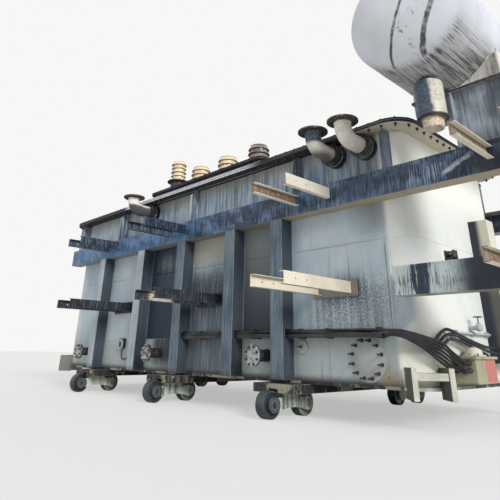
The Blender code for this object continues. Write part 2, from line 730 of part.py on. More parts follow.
def arm(bm, place, opens, start, end, bottom, height):
    """One channel arm running out from a wall or beam; opens is the X direction of its open side."""
    outline = [(place + opens * u, bottom + height / 2 + v) for u, v in channel(height, ARM_FLANGE, ARM_WALL)]
    prism(bm, outline, start, end, "Y")


def arm_holes(place, opens, tip, inward, middle_height):
    """Two bolt holes through an arm's web near its outer end."""
    bm = bmesh.new()
    for number in (1, 2):
        at = tip + inward * number * ARM_HOLE_PITCH
        turned(bm, disc(ARM_HOLE_RADIUS, -ARM_FLANGE, ARM_FLANGE / 2), ARM_HOLE_SIDES,
               facing("X", (place + opens * ARM_WALL, at, middle_height)))
    return bm


def beam(bm, left, right, sign, bottom, height):
    """A channel beam along X with its open side towards the tank and a plate over its near end."""
    face = sign * BELT_FACE
    root = sign * WALL_FACE
    inner = sign * (BELT_FACE - BELT_WALL)
    prism(bm, rectangle(left, right, bottom, bottom + height), inner, face, "Y")
    flanges = []
    overlap = sign * (BELT_FACE - BELT_WALL / 2)
    for low in (bottom, bottom + height - BELT_WALL):
        part = bmesh.new()
        prism(part, rectangle(left, right, low, low + BELT_WALL), overlap, root, "Y")
        flanges.append(part)
    plate = bmesh.new()
    prism(plate, rectangle(right - BELT_WALL, right, bottom, bottom + height), overlap, root, "Y")
    flanges.append(plate)
    return flanges


def add_arm_pair(target, parent, label, pair, spread, sign, root, reach, bottom, height):
    """Two channels whose open sides face each other, the pair that one cooler hangs on."""
    tip = sign * (root + reach)
    for number, opens in enumerate((1, -1)):
        place = pair - opens * spread / 2
        bm = bmesh.new()
        arm(bm, place, opens, sign * (root - WELD), tip, bottom, height)
        combine(target, tool(f"{label}_arm_{number}", bm, parent), "UNION")
        holes = arm_holes(place, opens, tip, -sign, bottom + height / 2)
        combine(target, tool(f"{label}_holes_{number}", holes, parent), "DIFFERENCE")


def build_belts(parent):
    arm_bottom = BELT_TOP - UPPER_ARM_DROP - UPPER_ARM_HEIGHT
    for side, sign in SIDES:
        bm = bmesh.new()
        flanges = beam(bm, BELT_LEFT, BELT_RIGHT, sign, BELT_BOTTOM, BELT_HEIGHT)
        belt = put(f"belt_{side}", bm, "oiled_paint", parent)
        for number, part in enumerate(flanges):
            combine(belt, tool(f"belt_{side}_part_{number}", part, parent), "UNION")
        for number, (pair, spread) in enumerate(zip(UPPER_ARM_PAIRS, UPPER_ARM_SPREADS)):
            add_arm_pair(belt, parent, f"belt_{side}_{number}", pair, spread, sign,
                         BELT_FACE, UPPER_ARM_REACH, arm_bottom, UPPER_ARM_HEIGHT)


def build_lower_beams(parent):
    """Shorter beams below the belts, each seated on the tank's round corner by an end plate."""
    arm_bottom = LOWER_BEAM_BOTTOM + LOWER_BEAM_ARM_RISE
    for side, sign in SIDES:
        bm = bmesh.new()
        flanges = beam(bm, LOWER_BEAM_LEFT, BELT_RIGHT, sign, LOWER_BEAM_BOTTOM, LOWER_BEAM_HEIGHT)
        seat = bmesh.new()
        section = rectangle(LOWER_BEAM_LEFT, LOWER_BEAM_LEFT + BELT_WALL,
                            LOWER_BEAM_BOTTOM, LOWER_BEAM_BOTTOM + LOWER_BEAM_HEIGHT)
        root = sign * wall_at(LOWER_BEAM_LEFT + BELT_WALL)
        prism(seat, section, sign * (BELT_FACE - BELT_WALL / 2), root, "Y")
        flanges.append(seat)
        piece = put(f"lower_beam_{side}", bm, "oiled_paint", parent)
        for number, part in enumerate(flanges):
            combine(piece, tool(f"lower_{side}_part_{number}", part, parent), "UNION")
        clear = bmesh.new()
        outline = rounded_rectangle(HALF_LENGTH + SEAM, HALF_WIDTH + SEAM, TANK_CORNER + SEAM)
        prism(clear, outline, TANK_FOOT, BELT_BOTTOM, "Z")
        combine(piece, tool(f"lower_{side}_clear", clear, parent), "DIFFERENCE")
        add_arm_pair(piece, parent, f"lower_{side}", UPPER_ARM_PAIRS[-1], UPPER_ARM_SPREADS[-1], sign,
                     BELT_FACE, LOWER_BEAM_ARM_REACH, arm_bottom, UPPER_ARM_HEIGHT)


def build_lower_arms(parent):
    middle = LOWER_ARM_BOTTOM + LOWER_ARM_HEIGHT / 2
    for side, sign in SIDES:
        for number, pair in enumerate(LOWER_ARM_PAIRS, 1):
            bm = bmesh.new()
            half = PAD_WIDTH / 2
            pad = rectangle(pair - half, pair + half, middle - PAD_HEIGHT / 2, middle + PAD_HEIGHT / 2)
            prism(bm, pad, sign * WALL_FACE, sign * (WALL_FACE + PAD_THICKNESS), "Y")
            label = f"lower_arms_{side}_{number}"
            piece = put(label, bm, "arm_paint", parent)
            add_arm_pair(piece, parent, label, pair, LOWER_ARM_SPREAD, sign, WALL_FACE + PAD_THICKNESS,
                         LOWER_ARM_REACH - PAD_THICKNESS, LOWER_ARM_BOTTOM, LOWER_ARM_HEIGHT)


# Elbows
def elbow_rings(sign):
    """Ring centres and directions along the elbow: out from the wall, then up."""
    straight = ELBOW_OUT - ELBOW_BEND
    path = [((0, 0), 0.0), ((straight, 0), 0.0)]
    for step in range(1, BEND_STEPS + 1):
        angle = pi / 2 * step / BEND_STEPS
        path.append(((straight + ELBOW_BEND * sin(angle), ELBOW_BEND * (1 - cos(angle))), angle))
    path.append(((ELBOW_OUT, ELBOW_LIP - ELBOW_HEIGHT - WELD), pi / 2))
    return [
        (Vector((0, sign * out, up)), Vector((0, sign * cos(turn), sin(turn))))
        for (out, up), turn in path
    ]


def elbow_model(parent, prefix, sign):
    bm = bmesh.new()
    swept(bm, elbow_rings(sign), ELBOW_RADIUS, PIPE_SIDES, Vector((1, 0, 0)))
    elbow = put(prefix, bm, "elbow_paint", parent, smooth=True)
    direction = "-Y" if sign < 0 else "Y"
    plate = ELBOW_FLANGE_THICKNESS
    rim = ELBOW_FLANGE_RADIUS - plate
    profile = [(0, 0), (rim, 0), (rim, plate), (VALVE_RADIUS, plate), (VALVE_RADIUS, VALVE_LENGTH)]
    profile += [(rim, VALVE_LENGTH), (rim, VALVE_LENGTH + plate), (0, VALVE_LENGTH + plate)]
    valve = bmesh.new()
    turned(valve, profile, PIPE_SIDES, facing(direction))
    combine(elbow, tool(f"{prefix}_valve", valve, parent), "UNION")
    lip = bmesh.new()
    top = ELBOW_LIP - ELBOW_HEIGHT
    turned(lip, disc(ELBOW_FLANGE_RADIUS, top - ELBOW_FLANGE_THICKNESS, top), PIPE_SIDES,
           facing("Z", (0, sign * ELBOW_OUT, 0)))
    combine(elbow, tool(f"{prefix}_lip", lip, parent), "UNION")
    bore = bmesh.new()
    inside = ELBOW_RADIUS - ELBOW_FLANGE_THICKNESS / 2
    turned(bore, disc(inside, top - ELBOW_BEND / 2, top + ELBOW_BEND), PIPE_SIDES,
           facing("Z", (0, sign * ELBOW_OUT, 0)))
    combine(elbow, tool(f"{prefix}_bore", bore, parent), "DIFFERENCE")
    return elbow


def build_elbows(parent):
    for side, sign in SIDES:
        prefix = f"elbow_{side}"
        mesh = finished_mesh(elbow_model(parent, prefix, sign), prefix)
        for number, place in enumerate(ELBOW_PLACES, 1):
            place_mesh(mesh, f"{prefix}_{number}", parent, (place, sign * WALL_FACE, ELBOW_HEIGHT))


# Bushing stumps
def bushing_profile(turret, sheds, radius, cap):
    """A turret with its flange, a stack of sheds with drip lips, and a metal cap."""
    core = radius - SHED_OVERHANG
    flange = turret - TURRET_FLANGE_THICKNESS
    profile = [(0, 0), (TURRET_RADIUS, 0), (TURRET_RADIUS, flange), (TURRET_FLANGE_RADIUS, flange)]
    profile += [(TURRET_FLANGE_RADIUS, turret), (core, turret)]
    height = turret
    for _ in range(sheds):
        profile += [(radius, height + SHED_LIP), (core, height + SHED_PITCH)]
        height += SHED_PITCH
    profile += [(cap, height), (cap, height + BUSHING_CAP_HEIGHT)]
    return profile + [(0, height + BUSHING_CAP_HEIGHT)]


def build_bushings(parent):
    for number, place in enumerate(BUSHING_PLACES):
        profile = bushing_profile(TURRET_HEIGHTS[number], SHED_COUNTS[number],
                                  SHED_RADII[number], BUSHING_CAP_RADII[number])
        bm = bmesh.new()
        turned(bm, profile, BUSHING_SIDES)
        at = (place, BUSHING_OUTWARD, CHEST_TOP + SEAM)
        put(f"bushing_{number + 1}", bm, "porcelain", parent, at, smooth=True)


# Conservator
def drum_profile():
    """A straight shell with half an ellipse at each end."""
    profile = []
    for step in range(DRUM_END_STEPS + 1):
        angle = pi / 2 * step / DRUM_END_STEPS
        profile.append((DRUM_RADIUS * sin(angle), -DRUM_HALF_LENGTH - DRUM_END_DEPTH * cos(angle)))
    for step in range(DRUM_END_STEPS, -1, -1):
        angle = pi / 2 * step / DRUM_END_STEPS
        profile.append((DRUM_RADIUS * sin(angle), DRUM_HALF_LENGTH + DRUM_END_DEPTH * cos(angle)))
    return profile


def build_drum(parent):
    bm = bmesh.new()
    turned(bm, drum_profile(), DRUM_SIDES, facing("Y"))
    drum = put("conservator_drum", bm, "drum_paint", parent, (DRUM_PLACE, 0, DRUM_HEIGHT), smooth=True)
    for sign in (-1, 1):
        boss = bmesh.new()
        turned(boss, disc(BOSS_RADIUS, DRUM_BOTTOM - BOSS_DROP, DRUM_BOTTOM + BOSS_RADIUS), PIPE_SIDES)
        at = (DRUM_PLACE, sign * BREATHER_OUTWARD, 0)
        combine(drum, tool(f"drum_boss_{sign}", boss, parent, at), "UNION")


def saddle_outline():
    """The upper plate of a stand: flat below, hollowed above to the drum's own facets."""
    base = STAND_JOINT + SEAM
    hollow = DRUM_RADIUS + SEAM
    step = 2 * pi / DRUM_SIDES
    points = [(STAND_LEFT, base), (STAND_RIGHT, base)]
    right_side = []
    for k in range(DRUM_SIDES):
        angle = step * (k + 0.5)
        x = DRUM_PLACE + hollow * cos(angle)
        z = DRUM_HEIGHT + hollow * sin(angle)
        if z < DRUM_HEIGHT and STAND_LEFT < x < STAND_RIGHT and z < SADDLE_TOP:
            right_side.append((x, z))
    right_side.sort(reverse=True)
    edge = sqrt(hollow ** 2 - (DRUM_HEIGHT - SADDLE_TOP) ** 2)
    right_top = min(DRUM_PLACE + edge + SEAM, STAND_RIGHT)
    left_top = max(DRUM_PLACE - edge - SEAM, STAND_LEFT)
    points += [(STAND_RIGHT, SADDLE_TOP)]
    if right_top < STAND_RIGHT:
        points.append((right_top, SADDLE_TOP))
    points += right_side
    if left_top > STAND_LEFT:
        points.append((left_top, SADDLE_TOP))
        points.append((STAND_LEFT, SADDLE_TOP))
    else:
        drop = sqrt(hollow ** 2 - (DRUM_PLACE - STAND_LEFT) ** 2)
        points.append((STAND_LEFT, DRUM_HEIGHT - drop - SEAM))
    return points


def build_stands(parent):
    """Each stand: a knee-shaped lower web on the belt, a joint plate and a saddle under the drum."""
    bottom = BELT_TOP + SEAM
    outline = [(STAND_LEFT, STAND_JOINT), (STAND_LEFT, STAND_KNEE_HEIGHT + STAND_KNEE)]
    outline += [(STAND_LEFT + STAND_KNEE, STAND_KNEE_HEIGHT), (STAND_LEG_LEFT, STAND_KNEE_HEIGHT)]
    outline += [(STAND_LEG_LEFT, bottom), (STAND_RIGHT, bottom), (STAND_RIGHT, STAND_JOINT)]
    for side, sign in SIDES:
        middle = sign * (BELT_FACE - BELT_DEPTH / 2)
        half_web = STAND_WEB / 2
        half = STAND_DEPTH / 2
        bm = bmesh.new()
        prism(bm, outline, middle - half_web, middle + half_web, "Y")
        stand = put(f"conservator_stand_{side}", bm, "drum_paint", parent)
        plates = (
            (STAND_LEFT, STAND_RIGHT, STAND_JOINT - STAND_FLANGE, STAND_JOINT + STAND_FLANGE),
            (STAND_LEG_LEFT, STAND_RIGHT, bottom, bottom + STAND_FLANGE),
            (STAND_LEG_LEFT, STAND_LEG_LEFT + STAND_FLANGE, bottom, STAND_JOINT),
            (STAND_RIGHT - STAND_FLANGE, STAND_RIGHT, bottom, SADDLE_TOP),
        )
        for number, (low_x, high_x, low_z, high_z) in enumerate(plates):
            part = bmesh.new()
            prism(part, rectangle(low_x, high_x, low_z, high_z), middle - half, middle + half, "Y")
            combine(stand, tool(f"stand_{side}_{number}", part, parent), "UNION")
        saddle = bmesh.new()
        prism(saddle, saddle_outline(), middle - half_web, middle + half_web, "Y")
        combine(stand, tool(f"stand_{side}_saddle", saddle, parent), "UNION")


def build_breather(parent):
    top = DRUM_BOTTOM - BOSS_DROP - SEAM
    cup_bottom = BREATHER_BOTTOM - BREATHER_CUP_HEIGHT
    rim = BREATHER_RADIUS + BREATHER_RIM
    profile = [(0, cup_bottom), (BREATHER_CUP_RADIUS, cup_bottom), (BREATHER_CUP_RADIUS, BREATHER_BOTTOM)]
    profile += [(rim, BREATHER_BOTTOM), (rim, BREATHER_BOTTOM + BREATHER_RIM)]
    profile += [(BREATHER_RADIUS, BREATHER_BOTTOM + BREATHER_RIM), (BREATHER_RADIUS, BREATHER_SHOULDER)]
    profile += [(BREATHER_NECK_RADIUS, BREATHER_SHOULDER + BREATHER_NECK_RADIUS / 2)]
    profile += [(BREATHER_NECK_RADIUS, top), (0, top)]
    bm = bmesh.new()
    turned(bm, profile, ROLLER_SIDES)
    put("breather", bm, "breather_paint", parent, (DRUM_PLACE, BREATHER_OUTWARD, 0), smooth=True)


def main():
    clear_scene()
    whole = bpy.data.objects.new("plan_middle", None)
    bpy.context.scene.collection.objects.link(whole)
    whole.location = (-PLAN_MIDDLE, 0, 0)
    build_bogies(whole)
    build_skids(whole)
    build_base(whole)
    build_tank(whole)
    build_flange(whole)
    build_cover(whole)
    build_cables(whole)
    build_ribs(whole)
    build_belts(whole)
    build_lower_beams(whole)
    build_lower_arms(whole)
    build_elbows(whole)
    build_bushings(whole)
    build_drum(whole)
    build_stands(whole)
    build_breather(whole)


main()
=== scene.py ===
import math

import bmesh
import bpy
import numpy as np
from mathutils import Matrix, Vector


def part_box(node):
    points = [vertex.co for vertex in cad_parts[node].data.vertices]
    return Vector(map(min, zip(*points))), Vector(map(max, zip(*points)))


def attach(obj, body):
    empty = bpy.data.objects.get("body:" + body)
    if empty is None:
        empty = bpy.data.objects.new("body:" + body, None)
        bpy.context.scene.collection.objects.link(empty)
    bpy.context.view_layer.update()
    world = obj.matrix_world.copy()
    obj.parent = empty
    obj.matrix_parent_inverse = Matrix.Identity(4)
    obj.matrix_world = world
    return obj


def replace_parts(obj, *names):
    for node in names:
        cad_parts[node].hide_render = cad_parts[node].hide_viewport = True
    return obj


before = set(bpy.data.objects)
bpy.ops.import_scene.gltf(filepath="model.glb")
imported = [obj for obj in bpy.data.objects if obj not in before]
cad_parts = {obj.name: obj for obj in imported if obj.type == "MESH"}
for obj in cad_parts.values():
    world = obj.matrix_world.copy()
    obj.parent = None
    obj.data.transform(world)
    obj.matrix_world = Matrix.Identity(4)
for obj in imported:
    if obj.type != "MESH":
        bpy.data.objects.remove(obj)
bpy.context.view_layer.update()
print("frame loaded:", len(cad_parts), "nodes")

plant = "transformer"  # the body that everything but the rollers rides on
sides = (("front", -1), ("rear", 1))
upwards, downwards = (0, 0, 1), (0, 0, -1)
touch = 0.0003  # the gap that two touching solids keep


# Places read from the frame. Lengths along the tank are kept from its middle.
def lowOf(node):
    return np.array(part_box(node)[0])


def highOf(node):
    return np.array(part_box(node)[1])


def centreOf(node):
    return (lowOf(node) + highOf(node)) / 2


tankMiddle = centreOf("cover")[0]
lengthHalf = 4.80  # of the tank without its flange
wallOut = -highOf("rib_front_1")[1]  # the long wall's distance from the middle plane
beltOut = -lowOf("rib_front_1")[1]
tankFoot, tankTop = lowOf("tank_body")[2], highOf("tank_body")[2]
beltLow, beltHigh = lowOf("belt_front")[2], highOf("belt_front")[2]
plateTop = lowOf("cover")[2] + 0.04  # the upper face of the cover's plate
rollerOut, rollerHeight = centreOf("roller_rear_1_outer")[1:]
rollersApart = (highOf("roller_rear_1_inner")[1] + lowOf("roller_rear_1_outer")[1]) / 2


def atX(place):
    # a place along the tank, counted from its middle, in the frame's own x
    return place + tankMiddle


# Arithmetic on shader sockets
class Wire:
    def __init__(self, graph, socket):
        self.graph, self.socket = graph, socket

    def math(self, operation, *others):
        return self.graph.node("Math", [self, *others], operation=operation)

    def __add__(self, other):
        return self.math("ADD", other)

    __radd__ = __add__

    def __sub__(self, other):
        return self.math("SUBTRACT", other)

    def __rsub__(self, other):
        return self.graph.node("Math", [other, self], operation="SUBTRACT")

    def __mul__(self, other):
        return self.math("MULTIPLY", other)

    __rmul__ = __mul__

    def __pow__(self, other):
        return self.math("POWER", other)

    def __abs__(self):
        return self.math("ABSOLUTE")

    def lowest(self, other):
        return self.math("MINIMUM", other)

    def highest(self, other):
        return self.math("MAXIMUM", other)


class Nodes:
    def __init__(self, tree):
        self.tree = tree

    # One way to make any node: settings first, then its inputs by order or by name
    def node(self, kind, inputs=(), out=0, **settings):
        made = self.tree.nodes.new("ShaderNode" + kind)
        for name, value in settings.items():
            setattr(made, name, value)
        pairs = inputs.items() if isinstance(inputs, dict) else enumerate(inputs)
        for key, value in pairs:
            self.feed(made.inputs[key], value)
        return Wire(self, made.outputs[out]) if made.outputs else None

    def feed(self, socket, value):
        if isinstance(value, Wire):
            self.tree.links.new(value.socket, socket)
        elif isinstance(value, tuple) and socket.type == "RGBA":
            socket.default_value = (*value, 1.0)
        else:
            socket.default_value = value


firstColour, secondColour, mixedColour = 6, 7, 2  # where a Mix node keeps its colours
paintShine = 0.28  # old paint reflects less than the shader's usual half


class Graph(Nodes):
    def __init__(self, name):
        self.material = bpy.data.materials.new(name)
        self.material.use_nodes = True
        super().__init__(self.material.node_tree)
        self.shader = self.tree.nodes["Principled BSDF"]
        self.place = self.node("TexCoord", out="Object")
        self.x = self.part(self.place, "X") - tankMiddle
        self.y = self.part(self.place, "Y")
        self.z = self.part(self.place, "Z")
        self.paint = None

    def part(self, vector, axis):
        return self.node("SeparateXYZ", [vector], out=axis)

    def normal(self, axis):
        return self.part(self.node("NewGeometry", out="True Normal"), axis)

    def facing(self, axis, low, high):
        # how nearly a face looks along an axis, either way
        return self.ramp(abs(self.normal(axis)), low, high)

    def downward(self):
        return self.ramp(self.normal("Z"), -0.5, -0.8)

    def stretched(self, along, up, across=None):
        # coordinates times a number each way, so that a noise is long where the number is small
        across = along if across is None else across
        return self.node("VectorMath", [self.place, (along, across, up)], operation="MULTIPLY")

    def noise(self, scale, detail=4.0, roughness=0.55, vector=None, distortion=0.0):
        values = {"Vector": vector or self.place, "Scale": scale, "Detail": detail,
                  "Roughness": roughness, "Distortion": distortion}
        return self.node("TexNoise", values, out="Fac")

    def ramp(self, value, low, high, to=(0.0, 1.0)):
        # rises smoothly from the first of two numbers at low to the second at high
        values = {"Value": value, "From Min": low, "From Max": high, "To Min": to[0], "To Max": to[1]}
        return self.node("MapRange", values, interpolation_type="SMOOTHSTEP")

    def band(self, value, low, high, soft=0.05):
        # one between low and high, nothing outside, with soft edges
        falling = self.ramp(value, high - soft, high + soft, (1.0, 0.0))
        return self.ramp(value, low - soft, low + soft) * falling

    def mix(self, share, first, second):
        inputs = {"Factor": share, firstColour: first, secondColour: second}
        return self.node("Mix", inputs, out=mixedColour, data_type="RGBA", clamp_factor=True)

    def lay(self, share, colour):
        # a coat over the paint so far, thick where the share is near one
        self.paint = self.mix(share, self.paint, colour)

    def finish(self, roughness, height, depth, strength, metallic=0.0, coat=0.0):
        bump = self.node("Bump", {"Height": height, "Distance": depth, "Strength": strength}, out="Normal")
        inputs = {"Base Color": self.paint, "Roughness": roughness, "Normal": bump, "Metallic": metallic,
                  "Coat Weight": coat, "Specular IOR Level": paintShine}
        for name, value in inputs.items():
            self.feed(self.shader.inputs[name], value)
        return self.material


rustTones = ((0.20, 0.075, 0.025), (0.36, 0.17, 0.075))


def weathered(name, look):
    # clouded paint, then grime that follows the runs, then rust where a coarse noise peaks
    g = Graph(name)
    amount, rust, drips = look["amount"], look["rust"], look.get("drips", 1.0)
    cloud = g.noise(1.3, 5.0)
    fine = g.noise(26.0, 6.0, 0.7)
    streak = g.noise(1.0, 5.0, 0.62, g.stretched(17.0, 0.9))
    g.paint = g.mix(g.ramp(cloud, 0.35, 0.65), look["clean"], look["faded"])
    dirt = streak * drips + cloud * (1.0 - drips * 0.5) + fine * 0.35
    g.lay(g.ramp(dirt, 0.95 - amount, 1.25 - amount * 0.6), look["grime"])
    rusty = g.ramp(g.noise(5.5, 8.0, 0.72), 0.66 - rust * 0.22, 0.74 - rust * 0.1)
    g.lay(rusty * 0.85, g.mix(fine, *rustTones))
    rough = g.ramp(cloud + fine * 0.4, 0.3, 1.0, (0.45, 0.75))
    height = fine * 0.5 + g.noise(90.0, 3.0) * 0.3 - rusty * 0.6
    return g, rough, height


fittingLook = {"clean": (0.45, 0.47, 0.47), "faded": (0.36, 0.39, 0.40), "grime": (0.10, 0.10, 0.10),
               "amount": 0.10, "rust": 0.10, "drips": 0.3,
               "mottle": (0.085, 0.080, 0.080), "blot": (0.14, 0.13, 0.12)}


def fittingFinish():
    # Pale grey fittings; the drain blanks standing off the wall are mottled with black
    look = fittingLook
    g, rough, height = weathered("fittingPaint", look)
    blotch = g.noise(11.0, 7.0, 0.72)
    blank = g.band(abs(g.y), wallOut + 0.20, wallOut + 0.40, 0.02) * g.ramp(g.z, 1.1, 1.05)
    g.lay(g.ramp(blotch, 0.49, 0.56) * blank * 0.85, look["mottle"])
    g.lay(g.ramp(blotch, 0.60, 0.66) * 0.5, look["blot"])
    return g.finish(rough, height, 0.004, 0.6)


bogieLook = {"clean": (0.60, 0.66, 0.56), "faded": (0.46, 0.51, 0.44), "grime": (0.10, 0.10, 0.09),
             "amount": 0.16, "rust": 0.12, "ear": (0.030, 0.036, 0.040), "ring": (0.16, 0.17, 0.16)}


def bogieFinish():
    # Pale grey-green castings, dark within a short distance of the outer rollers' middle lines
    look = bogieLook
    g, rough, height = weathered("bogiePaint", look)
    across, up = abs(g.y) - rollerOut, g.z - rollerHeight
    away = (across * across + up * up) ** 0.5
    g.lay(g.ramp(away, 0.125, 0.110) * 0.92, look["ear"])
    g.lay(g.band(away, 0.045, 0.060, 0.004) * 0.6, look["ring"])
    return g.finish(rough, height, 0.004, 0.6)


baseLook = {"clean": (0.34, 0.30, 0.22), "faded": (0.17, 0.15, 0.12), "grime": (0.022, 0.024, 0.028),
            "amount": 0.50, "rust": 0.18, "black": (0.03, 0.032, 0.035), "tan": (0.42, 0.39, 0.30),
            "bracket": ((0.60, 0.59, 0.49), (0.42, 0.42, 0.36)), "stain": (0.22, 0.20, 0.15),
            "farBracket": (0.17, 0.18, 0.17), "shaded": (0.055, 0.062, 0.050), "plateHalf": 0.020}


def baseFinish():
    # Tan and black skids and plate; the jacking brackets on its corners are cream, grey at the tank's far
    # end, with painted shade on the near ones' faces that look away from the near end
    look = baseLook
    g, rough, height = weathered("basePaint", look)
    speck = g.noise(9.0, 8.0, 0.75)
    g.lay(g.ramp(speck, 0.56, 0.63) * 0.8, look["black"])
    tan = g.ramp(g.noise(2.3, 4.0) + speck * 0.25, 0.64, 0.70) * g.facing("Z", 0.6, 0.4)
    g.lay(tan * 0.75, look["tan"])
    cream = g.mix(g.ramp(g.noise(3.0, 5.0), 0.4, 0.7), *look["bracket"])
    cream = g.mix(g.ramp(g.noise(12.0, 7.0, 0.7), 0.60, 0.70) * 0.6, cream, look["stain"])
    cream = g.mix(g.ramp(g.x, 0.0, -0.1) * 0.8, cream, look["farBracket"])
    # painted shade on the near brackets' faces that look away from the near end
    away = g.ramp(g.normal("X"), -0.3, -0.6) * g.ramp(g.x, 0.0, 0.1)
    cream = g.mix(away * 0.9, cream, look["shaded"])
    plateMiddle = highOf("skid_1")[2] + touch + look["plateHalf"]
    offPlate = g.ramp(abs(g.z - plateMiddle), 0.021, 0.024)
    atCorner = g.ramp(abs(g.x) + abs(g.y), 6.08, 6.10)
    bracket = offPlate.highest(atCorner) * g.ramp(abs(g.x), 4.40, 4.42) * g.ramp(g.z, 0.30, 0.34)
    g.lay(bracket, cream)
    return g.finish(rough, height, 0.004, 0.6)


tankLook = {
    "pale": (0.50, 0.56, 0.59),
    "blue": (0.36, 0.46, 0.54),
    "cream": (0.76, 0.77, 0.72),
    "paintedSunlight": (0.93, 0.92, 0.86),
    "paintedSunPatch": (0.95, 0.94, 0.83),
    "cornerGrey": (0.60, 0.64, 0.66),
    "footGrey": (0.40, 0.44, 0.43),
    "stubShadowBlack": (0.035, 0.042, 0.052),
    "footDirt": (0.05, 0.045, 0.04),
    "paintedCableShadow": (0.42, 0.45, 0.36),
    "grime": (0.045, 0.055, 0.070),
    "sootBlue": (0.080, 0.105, 0.135),
    "dull": ((0.030, 0.038, 0.052), (0.19, 0.20, 0.20)),
    "oil": (0.010, 0.020, 0.044),
    "oilBlue": (0.09, 0.16, 0.26),
    "olive": (0.36, 0.33, 0.23),
    "belowBeltGrey": (0.20, 0.20, 0.20),
    "upperCornerGrey": (0.12, 0.11, 0.10),
    "darkStreak": (0.14, 0.15, 0.16),
    "paleStreak": (0.64, 0.70, 0.74),
    "cornerLine": (0.05, 0.055, 0.06),
    "tan": (0.31, 0.26, 0.15),
    "brown": (0.20, 0.13, 0.06),
    "rust": (0.30, 0.17, 0.08),
    "darkBay": (-1.34, -0.14),
    "sootBay": (0.11, 1.32),
    "dullBay": (1.58, 2.46),
    "corner": 4.42,
    "trayFoot": 1.06,
}


